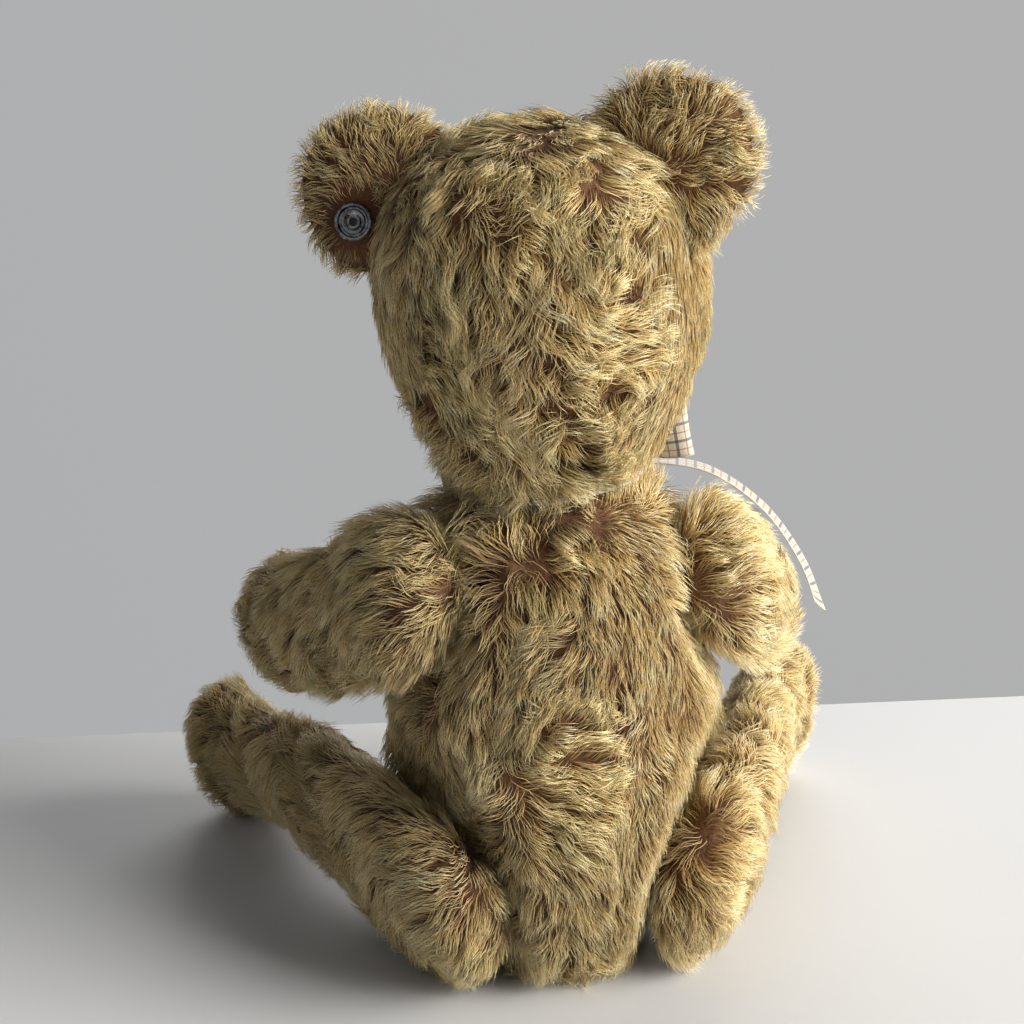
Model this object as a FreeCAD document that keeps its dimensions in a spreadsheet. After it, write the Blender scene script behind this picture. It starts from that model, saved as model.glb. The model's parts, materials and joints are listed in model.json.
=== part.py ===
"""A jointed mohair teddy bear, sitting, in millimetres.

The bear faces -Y and sits on Z = 0, so its own left is +X. The origin is on the floor under the middle of
the whole bear. The head, arms and legs each turn on a pair of card discs held by a cotter pin. Every soft
part is a plush cover round a firm stuffing. The driving sizes are the cells of the sheet "dims".
"""
import FreeCAD, Part
import math
import os
import Sketcher

App = FreeCAD
V = App.Vector

doc = App.newDocument("teddy_bear")

# ---------------------------------------------------------------- driving dimensions

DRIVING = {
    # where the torso's axis stands, so that the origin is under the middle of the whole bear
    "axis_side": 0.0,
    "axis_back": 30.1,
    "axis_up": 0.0,
    # covers and joints
    "pile_wall": 4.5,            # plush cover, backing and laid pile together
    "joint_wall": 2.0,           # the cover where a disc pulls it flat
    "joint_gap": 0.6,            # between the two covers at a joint
    # torso
    "torso_height": 134.0,
    "torso_radius": 44.0,
    # neck joint
    "head_lean": 6.0,            # degrees, towards the bear's left
    "head_turn": 20.0,           # degrees, face towards the bear's right
    "neck_radius": 18.5,
    # head
    "head_height": 86.0,
    "head_half_width": 42.5,
    "head_half_depth": 39.0,
    "muzzle_reach": 71.0,        # nose tip in front of the neck axis
    "muzzle_half_width": 18.0,
    "muzzle_half_height": 15.5,
    "muzzle_level": 29.0,        # muzzle axis above the neck plane
    # ears
    "ear_half_base": 21.0,
    "ear_reach": 24.0,
    "ear_half_thick": 6.0,
    # arms
    "shoulder_out": 31.5,
    "shoulder_back": 2.0,
    "shoulder_level": 100.0,
    "shoulder_yaw": 16.0,
    "shoulder_tilt": 18.0,
    "arm_drop": 23.0,            # degrees below level at rest
    "arm_reach": 91.0,           # paw tip from the joint
    "arm_half_height": 22.5,
    "arm_half_thick": 13.2,
    # legs
    "hip_out": 26.5,
    "hip_back": 8.0,
    "hip_level": 29.86,
    "hip_yaw": 25.0,
    "hip_tilt": -15.0,
    "leg_reach": 123.0,          # sole from the joint
    "leg_half_height": 27.0,
    "leg_half_thick": 12.8,
    # joint hardware
    "shoulder_disc_radius": 10.0,
    "hip_disc_radius": 12.0,
    "neck_disc_radius": 13.5,
    "disc_thick": 2.2,
    "washer_radius": 6.0,
    "washer_thick": 0.8,
    "pin_radius": 1.5,
    "pin_clearance": 0.1,
    "pin_wire": 0.9,             # radius of the split pin's bent wire
    "pin_eye_radius": 2.4,
    # face and trim
    "eye_radius": 4.6,
    "eye_shank_length": 9.0,
    "eye_wire": 0.5,
    "stud_radius": 4.7,
    "stud_thick": 1.4,
    "thread_radius": 0.55,
    "nose_half_width": 8.6,
    "nose_half_height": 5.6,
    "nose_half_depth": 3.2,
    "ribbon_width": 15.0,
    "ribbon_thick": 0.5,
    "collar_radius": 22.8,
    "collar_height": 5.5,
    "bow_turn": 15.0,            # degrees round the neck, towards the bear's right
    "bow_roll": 4.0,             # degrees, its right-hand side up
    "bow_reach": 35.0,
    "bow_depth": 8.0,
    "bow_height": 11.0,
}

sheet = doc.addObject("Spreadsheet::Sheet", "dims")
for row, (alias, value) in enumerate(DRIVING.items(), start=1):
    sheet.set(f"A{row}", alias)
    sheet.set(f"B{row}", str(value))
    sheet.setAlias(f"B{row}", alias)
doc.recompute()


def dim(alias):
    return float(sheet.get(alias))


# ---------------------------------------------------------------- frames

def limb_frame(out, back, level, yaw, tilt, drop=0.0):
    """The bear's right-hand joint: local Z points out of the body, X along the limb and Y up across it."""
    yaw, tilt = math.radians(yaw), math.radians(tilt)
    outward = V(-math.cos(yaw) * math.cos(tilt), math.sin(yaw) * math.cos(tilt), math.sin(tilt))
    along = V(-math.sin(yaw), -math.cos(yaw), 0)
    across = outward.cross(along)
    turned = App.Placement(V(-out, back, level), App.Rotation(along, across, outward, "ZXY"))
    return turned * App.Placement(V(), App.Rotation(V(0, 0, 1), -drop))


SHOULDER = limb_frame(dim("shoulder_out"), dim("shoulder_back"), dim("shoulder_level"),
                      dim("shoulder_yaw"), dim("shoulder_tilt"), dim("arm_drop"))
HIP = limb_frame(dim("hip_out"), dim("hip_back"), dim("hip_level"), dim("hip_yaw"), dim("hip_tilt"))
NECK = App.Placement(V(0, 0, dim("torso_height")), App.Rotation(V(0, 1, 0), dim("head_lean")))
HEAD = NECK * App.Placement(V(), App.Rotation(V(0, 0, 1), -dim("head_turn")))

SET_DOWN = App.Placement(V(dim("axis_side"), dim("axis_back"), dim("axis_up")), App.Rotation())

ACROSS_LIMB = App.Rotation(V(1, 1, 1), 120)      # a section's X, Y, Z become the limb's Y, Z, X
FACING_FORWARD = App.Rotation(V(1, 0, 0), 90)    # a section's normal becomes -Y
BIG = 300.0                                      # a half space, as a box this long
FACE = dim("joint_gap") / 2                      # from the joint plane to a cover

# ---------------------------------------------------------------- building blocks

kept = []                                        # the sub-parts, in the order they are made


def keep(thing, label, placement=App.Placement()):
    """Names a sub-part, which also names its file, and sets it in its place."""
    thing.Placement = SET_DOWN * placement
    thing.Label = label
    kept.append(thing)
    return thing


def bind(thing, **expressions):
    for prop, expression in expressions.items():
        thing.setExpression(prop, expression)
    return thing


def mirrored(source, label):
    """The bear's left-hand piece, from its right-hand one."""
    copy = doc.addObject("Part::Mirroring", label)
    copy.Source, copy.Base, copy.Normal = source, V(dim("axis_side"), 0, 0), V(1, 0, 0)
    copy.Label = label
    kept.append(copy)
    return copy


def cut(base, *tools):
    for tool in tools:
        result = doc.addObject("Part::Cut", "cut")
        result.Base, result.Tool = base, tool
        base = result
    return base


def common(base, tool):
    result = doc.addObject("Part::Common", "common")
    result.Base, result.Tool = base, tool
    return result


def fuse(*shapes):
    result = doc.addObject("Part::MultiFuse", "fuse")
    result.Shapes = list(shapes)
    return result


def feature(shape, label, placement=App.Placement()):
    thing = doc.addObject("Part::Feature", label)
    thing.Shape = shape
    return keep(thing, label, placement * shape.Placement)


def half_space(placement):
    """Everything on the +Z side of the placement's XY plane."""
    box = doc.addObject("Part::Box", "half_space")
    box.Length = box.Width = box.Height = BIG
    box.Placement = placement * App.Placement(V(-BIG / 2, -BIG / 2, 0), App.Rotation())
    return box


def cylinder(radius, height, placement, start=0.0):
    """A cylinder along the placement's Z, with its radius and height given as expressions."""
    made = doc.addObject("Part::Cylinder", "cylinder")
    bind(made, Radius=radius, Height=height)
    made.Placement = placement * App.Placement(V(0, 0, start), App.Rotation())
    return made


def section(major, minor, placement):
    ellipse = doc.addObject("Part::Ellipse", "section")
    bind(ellipse, MajorRadius=major, MinorRadius=minor)
    ellipse.Placement = placement
    return ellipse


def ring(radius, middle, turn):
    circle = doc.addObject("Part::Circle", "section")
    bind(circle, Radius=radius)
    circle.Placement = App.Placement(middle, turn)
    return circle


def loft(sections):
    made = doc.addObject("Part::Loft", "loft")
    made.Sections, made.Solid, made.Ruled = sections, True, False
    return made


def pulled_in(stations, wall):
    """Stations along an axis, pulled in at both ends by the cover's wall."""
    first, last = stations[0], stations[-1]
    middle, share = (first + last) / 2, 1 - 2 * wall / (last - first)
    return [middle + (s - middle) * share for s in stations]


# ---------------------------------------------------------------- joint hardware


def ring_body(label, radius, thick, placement):
    """A flat round piece with the pin's hole in it: a card disc or a washer."""
    body = doc.addObject("PartDesign::Body", label)
    sketch = body.newObject("Sketcher::SketchObject", label + "_outline")
    plane = next(f for f in body.Origin.OriginFeatures if f.Role == "XY_Plane")
    sketch.AttachmentSupport, sketch.MapMode = (plane, ""), "FlatFace"
    for index, size in enumerate((radius, "pin_radius")):
        sketch.addGeometry(Part.Circle(V(), V(0, 0, 1), dim(size)), False)
        sketch.addConstraint(Sketcher.Constraint("Coincident", index, 3, -1, 1))
        number = sketch.addConstraint(Sketcher.Constraint("Radius", index, dim(size)))
        clearance = " + dims.pin_clearance" if size == "pin_radius" else ""
        sketch.setExpression(f"Constraints[{number}]", f"dims.{size}{clearance}")
    pad = body.newObject("PartDesign::Pad", label + "_pad")
    pad.Profile = sketch
    bind(pad, Length=f"dims.{thick}")
    return keep(body, label, placement)


def lifted(placement, height, flip=False):
    """The placement moved along its own Z, and turned over for the torso's side of a joint."""
    over = App.Rotation(V(1, 0, 0), 180) if flip else App.Rotation()
    return placement * App.Placement(V(), over) * App.Placement(V(0, 0, height), App.Rotation())


DISC_AT = FACE + dim("joint_wall")
WASHER_AT = DISC_AT + dim("disc_thick")
PIN_AT = WASHER_AT + dim("washer_thick")
CURL_RADIUS = dim("pin_eye_radius")
CURL_CLEARANCE = 0.15
LEG_GAP = 0.1                                    # between the pin's two legs, on each side of its axis


def torus(major, minor, placement, sweep=360.0):
    ring = doc.addObject("Part::Torus", "ring")
    ring.Radius1, ring.Radius2, ring.Angle3 = major, minor, sweep
    ring.Placement = placement
    return ring


def split_pin(label, frame):
    """A cotter pin: its eye lies in the limb and its two legs curl back on the torso's washer."""
    wire = dim("pin_wire")
    curl_level = PIN_AT + CURL_CLEARANCE + CURL_RADIUS + wire
    shaft = doc.addObject("Part::Cylinder", "shaft")
    bind(shaft, Radius="dims.pin_radius")
    shaft.Height = PIN_AT + wire + curl_level
    shaft.Placement.Base = V(0, 0, -curl_level)
    upright = App.Rotation(V(1, 0, 0), 90)
    eye = torus(CURL_RADIUS, wire, App.Placement(V(0, 0, PIN_AT + CURL_RADIUS + wire), upright))
    curls = []
    for side in (1, -1):
        middle = V(side * (CURL_RADIUS + wire + LEG_GAP), 0, -curl_level)
        turn = App.Rotation(V(0, 0, 1), 0 if side > 0 else 180)
        curls.append(torus(CURL_RADIUS, wire, App.Placement(middle, turn * upright)))
    return keep(fuse(shaft, eye, *curls), label, frame)


def joint(limb, place, disc_radius, frame):
    """The five pieces of one joint. limb and place name them, such as right_arm and right_shoulder."""
    return [
        ring_body(f"{limb}_disc", disc_radius, "disc_thick", lifted(frame, DISC_AT)),
        ring_body(f"{limb}_washer", "washer_radius", "washer_thick", lifted(frame, WASHER_AT)),
        split_pin(f"{place}_pin", frame),
        ring_body(f"torso_{place}_disc", disc_radius, "disc_thick", lifted(frame, DISC_AT, True)),
        ring_body(f"torso_{place}_washer", "washer_radius", "washer_thick", lifted(frame, WASHER_AT, True)),
    ]


POCKET_SLACK = 0.2
PIN_ROOM_RADIUS = 7.2
PIN_ROOM = 2 * (CURL_RADIUS + dim("pin_wire")) + 1.5


def pocket(disc_radius, frame, flip=False, start=FACE):
    """The room that one side of a joint takes up, from a distance off the joint plane inwards."""
    disc = cylinder(f"dims.{disc_radius} + {POCKET_SLACK}",
                    f"dims.disc_thick + dims.washer_thick + {DISC_AT - start + POCKET_SLACK}",
                    lifted(frame, 0, flip), start)
    pin = doc.addObject("Part::Cylinder", "pin_room")
    pin.Radius, pin.Height = PIN_ROOM_RADIUS, PIN_AT + PIN_ROOM - start
    pin.Placement = lifted(frame, 0, flip) * App.Placement(V(0, 0, start), App.Rotation())
    return [disc, pin]


def pin_hole(frame):
    return cylinder("dims.pin_radius + dims.pin_clearance", "dims.joint_wall * 6",
                    lifted(frame, -3 * dim("joint_wall")))


# ---------------------------------------------------------------- torso

TORSO_OUTLINE = [  # share of height, of radius, and how far the middle stands back
    (0.00, 0.40, 3.0),
    (0.05, 0.60, 2.0),
    (0.13, 0.78, 1.0),
    (0.25, 0.92, 0.0),
    (0.42, 1.00, -1.0),
    (0.62, 0.95, -1.0),
    (0.78, 0.83, 0.5),
    (0.90, 0.65, 0.5),
    (0.96, 0.47, 0.2),
]
SEAM_AT_BACK = App.Rotation(V(0, 0, 1), 90)


def mirror_frame(frame):
    """The left-hand joint plane that matches a right-hand one, with local Z out of the body."""
    outward = frame.Rotation.multVec(V(0, 0, 1))
    outward.x = -outward.x
    base = V(-frame.Base.x, frame.Base.y, frame.Base.z)
    return App.Placement(base, App.Rotation(V(0, 0, 1), outward))


JOINT_PLANES = [SHOULDER, mirror_frame(SHOULDER), HIP, mirror_frame(HIP)]


def torso_form(inside):
    """The egg-shaped torso, flat where the limbs, the head and the seat bear on it."""
    wall = dim("pile_wall") if inside else 0.0
    joint_wall = dim("joint_wall") if inside else 0.0
    less = " - dims.pile_wall" if inside else ""
    height = dim("torso_height")
    sections = []
    for share, wide, back in TORSO_OUTLINE:
        level = wall if share == 0 else share * height
        sections.append(ring(f"dims.torso_radius * {wide}{less}", V(0, back, level), SEAM_AT_BACK))
    top = NECK.multVec(V(0, 0, -FACE - joint_wall))
    sections.append(ring(f"dims.neck_radius{less}", top, NECK.Rotation * SEAM_AT_BACK))
    outsides = [half_space(lifted(plane, -FACE - joint_wall)) for plane in JOINT_PLANES]
    return cut(loft(sections), *outsides)


def make_torso():
    outer, inner = torso_form(False), torso_form(True)
    frames = [SHOULDER, mirror_frame(SHOULDER), HIP, mirror_frame(HIP), NECK]
    discs = ["shoulder_disc_radius"] * 2 + ["hip_disc_radius"] * 2 + ["neck_disc_radius"]
    recesses = [room for disc, frame in zip(discs, frames) for room in pocket(disc, frame, True, DISC_AT)]
    cover = cut(outer, inner, *[pin_hole(frame) for frame in frames], *recesses)
    pockets = [room for disc, frame in zip(discs, frames) for room in pocket(disc, frame, True)]
    keep(cover, "torso_cover")
    keep(cut(inner, fuse(*pockets)), "torso_stuffing")
    return outer


# ---------------------------------------------------------------- head

HEAD_OUTLINE = [  # share of height, of half width, of half depth, and how far the middle stands back
    (0.0035, 0.42, 0.455, 0.0),
    (0.07, 0.64, 0.69, -1.0),
    (0.165, 0.80, 0.85, -3.0),
    (0.31, 0.93, 0.95, -5.0),
    (0.49, 1.00, 1.00, -6.0),
    (0.65, 0.98, 0.975, -5.0),
    (0.79, 0.87, 0.87, -3.0),
    (0.90, 0.67, 0.67, -2.0),
    (0.975, 0.38, 0.38, -1.0),
    (1.00, 0.20, 0.20, -1.0),
]
MUZZLE_OUTLINE = [  # share of reach, of half width, of half height, and drop of the middle
    (0.36, 1.10, 1.10, 0.0),
    (0.62, 0.96, 0.96, 0.5),
    (0.80, 0.80, 0.82, 1.0),
    (0.93, 0.62, 0.64, 1.2),
    (1.00, 0.36, 0.38, 1.2),
]


def head_form(inside):
    height, wall = dim("head_height"), dim("pile_wall")
    top_wall = wall if inside else 0.0
    joint_wall = dim("joint_wall") if inside else 0.0
    less = " - dims.pile_wall" if inside else ""
    low = HEAD_OUTLINE[0][0]
    first = height * low + joint_wall
    scale = (height - top_wall - first) / (height - height * low)
    skull = loft([section(f"dims.head_half_width * {wide}{less}", f"dims.head_half_depth * {deep}{less}",
                          App.Placement(V(0, back, first + (share - low) * height * scale), App.Rotation()))
                  for share, wide, deep, back in HEAD_OUTLINE])
    reach = dim("muzzle_reach") - top_wall
    muzzle = loft([section(f"dims.muzzle_half_width * {wide}{less}",
                           f"dims.muzzle_half_height * {high}{less}",
                           App.Placement(V(0, -share * reach, dim("muzzle_level") - drop), FACING_FORWARD))
                   for share, wide, high, drop in MUZZLE_OUTLINE])
    return fuse(skull, muzzle)


EAR_MIDDLE = V(33.0, 1.0, 71.0)                  # the bear's left ear, in the head's frame
EAR_RISE = 34.0                                  # degrees that the ear points up from level
EAR_CUP = 12.0                                   # degrees that its back turns outwards


def ear_frame(side):
    turn = App.Rotation(V(0, 1, 0), side * (90 - EAR_RISE)) * App.Rotation(V(0, 0, 1), side * EAR_CUP)
    return App.Placement(V(side * EAR_MIDDLE.x, EAR_MIDDLE.y, EAR_MIDDLE.z), turn)


def ear_form(side):
    """A cupped oval, with the head's place still to be cut from it. Its front is hollowed."""
    oval = doc.addObject("Part::Ellipsoid", "ear_oval")
    bind(oval, Radius1="dims.ear_reach", Radius2="dims.ear_half_base", Radius3="dims.ear_half_thick")
    hollow = doc.addObject("Part::Ellipsoid", "ear_hollow")
    bind(hollow, Radius1="dims.ear_reach * 0.72", Radius2="dims.ear_half_base * 0.72",
         Radius3="dims.ear_half_thick * 0.9")
    hollow.Placement = App.Placement(V(0, -dim("ear_half_thick") * 1.15, 2.0), App.Rotation())
    for half in (oval, hollow):
        half.Angle1, half.Angle2 = -90, 90
        half.Placement = ear_frame(side) * half.Placement
    return cut(oval, hollow)


def surface_point(shape, start, direction):
    """Where a ray leaves the shape for the last time."""
    line = Part.makeLine(start, start + direction * BIG)
    inside = shape.common(line)
    return max((v.Point for v in inside.Vertexes), key=lambda p: (p - start).dot(direction))


EYE_ACROSS, EYE_LEVEL, EYE_SINK = 15.5, 47.0, 1.2


def eye_and_shank(head_shape, side):
    """A glass eye seated in the cover, with the wire shank that holds it in the stuffing."""
    outward = V(side * 0.28, -1, 0.12).normalize()
    seat = surface_point(head_shape, V(side * EYE_ACROSS, -10, EYE_LEVEL), outward)
    flat = -12                                   # degrees: the back of the ball is cut flat here
    ball = Part.makeSphere(dim("eye_radius"), seat - outward * EYE_SINK, outward, flat, 90, 360)
    back = seat - outward * (EYE_SINK + dim("eye_radius") * math.sin(math.radians(-flat)))
    wire, length = dim("eye_wire"), dim("eye_shank_length")
    shank = Part.makeCylinder(wire, length, back, -outward)
    loop = Part.makeTorus(1.8, wire, back - outward * (length + 1.5), V(1, 0, 0))
    return ball, shank.fuse(loop)


def make_head():
    outer, inner = head_form(False), head_form(True)
    doc.recompute()
    eyes, shanks = zip(*[eye_and_shank(outer.Shape, side) for side in (1, -1)])
    sockets = doc.addObject("Part::Feature", "eye_sockets")
    sockets.Shape = Part.makeCompound([*eyes, *shanks])
    recess = pocket("neck_disc_radius", App.Placement(), start=DISC_AT)
    cover = cut(outer, inner, pin_hole(App.Placement()), sockets, *recess)
    stuffing = cut(inner, *pocket("neck_disc_radius", App.Placement()), sockets)
    keep(cover, "head_cover", HEAD)
    keep(stuffing, "head_stuffing", HEAD)
    for name, eye in zip(("left", "right"), eyes):
        feature(eye, f"{name}_eye", HEAD)
    feature(Part.makeCompound(shanks), "eye_shanks", HEAD)
    nose = doc.addObject("Part::Ellipsoid", "nose_oval")
    bind(nose, Radius1="dims.nose_half_height", Radius2="dims.nose_half_depth",
         Radius3="dims.nose_half_width")
    nose.Angle1, nose.Angle2 = -90, 90
    nose.Placement = App.Placement(V(0, -dim("muzzle_reach") + 2.0, dim("muzzle_level") + 3.0),
                                   App.Rotation(V(1, 0, 0), -20) * App.Rotation(V(0, 0, 1), 90))
    keep(cut(nose, outer), "nose_stitching", HEAD)
    keep(cut(ear_form(-1), outer), "right_ear", HEAD)
    return outer, cut(ear_form(1), outer)


# ---------------------------------------------------------------- arms and legs

ARM_OUTLINE = [  # share of reach, of half height, of half thickness, rise of the middle, its distance out
    (-0.25, 0.36, 0.46, 0.0, 10.5),
    (-0.21, 0.61, 0.70, 0.0, 11.5),
    (-0.09, 0.92, 0.95, 0.0, 12.5),
    (0.06, 1.00, 1.00, 0.0, 13.0),
    (0.32, 0.90, 0.95, -2.0, 13.0),
    (0.57, 0.85, 0.92, -0.7, 13.0),
    (0.77, 0.81, 0.88, 1.8, 13.0),
    (0.91, 0.66, 0.78, 4.2, 12.5),
    (1.00, 0.42, 0.50, 5.6, 12.0),
]
LEG_OUTLINE = [
    (-0.210, 0.36, 0.46, 0.0, 10.5),
    (-0.180, 0.60, 0.70, 0.0, 11.5),
    (-0.090, 0.90, 0.94, 0.0, 12.5),
    (0.03, 1.00, 1.00, 0.0, 13.0),
    (0.25, 0.92, 0.98, 3.1, 13.0),
    (0.50, 0.76, 0.92, 5.0, 13.0),
    (0.70, 0.68, 0.88, 1.8, 13.2),
    (0.86, 0.78, 0.95, -2.0, 14.0),
    (0.97, 0.84, 1.04, -3.8, 15.0),
    (1.00, 0.78, 0.95, -3.8, 15.0),
]


def limb_form(name, outline, inside):
    """A limb in its joint's frame, flat on the joint plane's side."""
    reach, wall = dim(f"{name}_reach"), dim("pile_wall")
    less = " - dims.pile_wall" if inside else ""
    stations = [row[0] * reach for row in outline]
    if inside:
        stations = pulled_in(stations, wall)
    form = loft([section(f"dims.{name}_half_height * {row[1]}{less}",
                         f"dims.{name}_half_thick * {row[2]}{less}",
                         App.Placement(V(station, row[3], row[4]), ACROSS_LIMB))
                 for station, row in zip(stations, outline)])
    face = FACE + (dim("joint_wall") if inside else 0.0)
    return common(form, half_space(App.Placement(V(0, 0, face), App.Rotation())))


def pad_cutter(half_long, half_wide, depth, placement):
    """An oval plug that marks out a felt pad."""
    ellipse = doc.addObject("Part::Ellipse", "pad_outline")
    ellipse.MajorRadius, ellipse.MinorRadius = half_long, half_wide
    plug = doc.addObject("Part::Extrusion", "pad_plug")
    plug.Base, plug.DirMode, plug.Dir, plug.LengthFwd, plug.Solid = ellipse, "Custom", V(0, 0, 1), depth, True
    plug.Placement = placement
    return plug


def make_limb(name, outline, disc_radius, frame, pad_name, plug):
    """The right-hand limb's cover, stuffing and felt pad."""
    outer, inner = limb_form(name, outline, False), limb_form(name, outline, True)
    recess = pocket(disc_radius, App.Placement(), start=DISC_AT)
    shell = cut(outer, inner, pin_hole(App.Placement()), *recess)
    cover = keep(cut(shell, plug), f"right_{name}_cover", frame)
    stuffing = keep(cut(inner, *pocket(disc_radius, App.Placement())), f"right_{name}_stuffing", frame)
    pad = keep(common(shell, plug), pad_name, frame)
    return [cover, stuffing, pad], outer


def thread(points):
    """A raised stitch: round thread along an arc through three points."""
    path = Part.Wire(Part.Arc(*points).toShape())
    start = path.Edges[0]
    tangent = start.tangentAt(start.FirstParameter)
    profile = Part.Wire(Part.makeCircle(dim("thread_radius"), points[0], tangent))
    return path.makePipeShell([profile], True, True)


def claws(outer, spread, backs, out):
    """Four claw stitches over the tip of a paw or foot, in the limb's frame."""
    made = []
    for number in range(4):
        aside = (number - 1.5) * spread
        points = [surface_point(outer, V(back, 0, out + aside), V(0, 1, 0)) for back in backs]
        made.append(thread(points))
    return Part.makeCompound(made)


# ---------------------------------------------------------------- build

torso_outer = make_torso()
head_outer, left_ear_form = make_head()
joint("head", "neck", "neck_disc_radius", NECK)

FOOT_PAD = pad_cutter(dim("leg_half_height") * 0.76, dim("leg_half_thick") * 0.80, 12.0,
                      App.Placement(V(dim("leg_reach") - 7.0, -3.6, 15.2), ACROSS_LIMB))
PAW_TURN = App.Rotation(V(1, 0, 0), 118)         # the pad faces down and in
PAW_PAD = pad_cutter(13.5, 7.6, 22.0, App.Placement(V(66.0, -3.6, 11.1), PAW_TURN))

right_pieces = []
pieces, leg_outer = make_limb("leg", LEG_OUTLINE, "hip_disc_radius", HIP, "right_foot_pad", FOOT_PAD)
right_pieces += pieces
pieces, arm_outer = make_limb("arm", ARM_OUTLINE, "shoulder_disc_radius", SHOULDER, "right_paw_pad", PAW_PAD)
right_pieces += pieces
right_pieces += joint("right_leg", "right_hip", "hip_disc_radius", HIP)
right_pieces += joint("right_arm", "right_shoulder", "shoulder_disc_radius", SHOULDER)

doc.recompute()
reach = dim("leg_reach")
right_pieces.append(feature(claws(leg_outer.Shape, 5.2, (reach - 2.0, reach - 5.5, reach - 10.0), 15.0),
                            "right_foot_claws", HIP))
reach = dim("arm_reach")
right_pieces.append(feature(claws(arm_outer.Shape, 3.6, (reach - 3.0, reach - 6.5, reach - 11.0), 12.5),
                            "right_paw_claws", SHOULDER))
for piece in right_pieces:
    mirrored(piece, piece.Label.replace("right", "left"))

# mouth
head_shape = head_outer.Shape


def on_muzzle(across, level):
    start = V(across * 0.3, -40, dim("muzzle_level") - 2)
    return surface_point(head_shape, start, V(across, -22, level).normalize())


philtrum = thread([on_muzzle(0, -0.5), on_muzzle(0, -3.5), on_muzzle(0, -7.0)])
smiles = [thread([on_muzzle(0, -7.0), on_muzzle(side * 5, -9.5), on_muzzle(side * 10.5, -8.5)])
          for side in (1, -1)]
feature(Part.makeCompound([philtrum, *smiles]), "mouth_stitching", HEAD)

# the stud in the left ear: a domed cap in front, its hollow prong, and a rolled socket behind
ear_shape = left_ear_form.Shape.copy()
ear_shape.Placement = ear_frame(1).inverse() * ear_shape.Placement
STUD_AT = V(9.5, 0, 4.5)
SOCKET_SINK = 0.3
back_face = surface_point(ear_shape, STUD_AT, V(0, 1, 0))
front_face = surface_point(ear_shape, STUD_AT, V(0, -1, 0))
ear_thick = back_face.y - front_face.y


def turned(profile, axis_at):
    """A solid of revolution about +Y through a point, from (radius, height) corners."""
    corners = [axis_at + V(0, height, 0) + V(radius, 0, 0) for radius, height in profile]
    face = Part.Face(Part.makePolygon(corners + corners[:1]))
    return face.revolve(axis_at, V(0, 1, 0), 360)


r = dim("stud_radius")
thick = dim("stud_thick")
prong, bore = r * 0.34, r * 0.22
socket = turned([(prong, -SOCKET_SINK), (r, -SOCKET_SINK), (r, thick * 0.6), (r * 0.93, thick),
                 (r * 0.82, thick), (r * 0.74, thick * 0.45), (r * 0.66, thick * 0.45),
                 (r * 0.60, thick * 0.95), (r * 0.48, thick * 0.95), (prong, thick * 0.5)], back_face)
cap = turned([(0, -1.6), (r * 0.45, -1.45), (r * 0.80, -0.9), (r * 0.92, -0.1), (r * 0.92, 0.3), (prong, 0.3),
              (prong, ear_thick + thick * 0.5), (bore, ear_thick + thick * 0.5), (bore, 0.3), (0, 0.3)],
             front_face)
feature(socket, "ear_stud_socket", HEAD * ear_frame(1))
feature(cap, "ear_stud_cap", HEAD * ear_frame(1))
stud = doc.addObject("Part::Feature", "stud_seat")
core = Part.makeCylinder(prong, ear_thick, front_face, V(0, 1, 0))
pressed = Part.makeCylinder(r, 2 * r, back_face - V(0, SOCKET_SINK, 0), V(0, 1, 0))
stud.Shape = Part.makeCompound([socket, cap, core.fuse(pressed)])
stud.Placement = ear_frame(1)
keep(cut(left_ear_form, stud), "left_ear", HEAD)

# the centre back seam, closed by hand with ladder stitches
torso_shape = torso_outer.Shape
stitches = []
SEAM_FROM, SEAM_TO, STITCHES = 84.0, 118.0, 8
for number in range(STITCHES):
    level = SEAM_FROM + (SEAM_TO - SEAM_FROM) * number / (STITCHES - 1)
    points = [surface_point(torso_shape, V(x, 0, level), V(0, 1, 0)) + V(0, lift, 0)
              for x, lift in ((-1.8, -0.2), (0, 0.15), (1.8, -0.2))]
    stitches.append(thread(points))
feature(Part.makeCompound(stitches), "back_seam_stitches")

# ribbon: a collar round the neck, tied in a bow at the throat
thick = dim("ribbon_thick")
collar_radius, collar_height = dim("collar_radius"), dim("collar_height")
collar = Part.makeCylinder(collar_radius + thick, collar_height)
collar = collar.cut(Part.makeCylinder(collar_radius, collar_height))
COLLAR_LOW = -4.5
collar.translate(V(0, 0, COLLAR_LOW))
feature(collar, "ribbon_collar", NECK)

KNOT = V(9.5, 6.0, 8.5)
BOW_LEVEL = -2.6                                 # the knot's middle, above the neck plane
BOW = (NECK * App.Placement(V(), App.Rotation(V(0, 0, 1), -dim("bow_turn")))
       * App.Placement(V(0, -collar_radius - thick - KNOT.y / 2, BOW_LEVEL),
                       App.Rotation(V(0, 1, 0), dim("bow_roll"))))
knot = Part.makeBox(KNOT.x, KNOT.y, KNOT.z, KNOT * -0.5)
knot = knot.makeFillet(2.4, knot.Edges)
feature(knot, "ribbon_knot", BOW)


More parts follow.
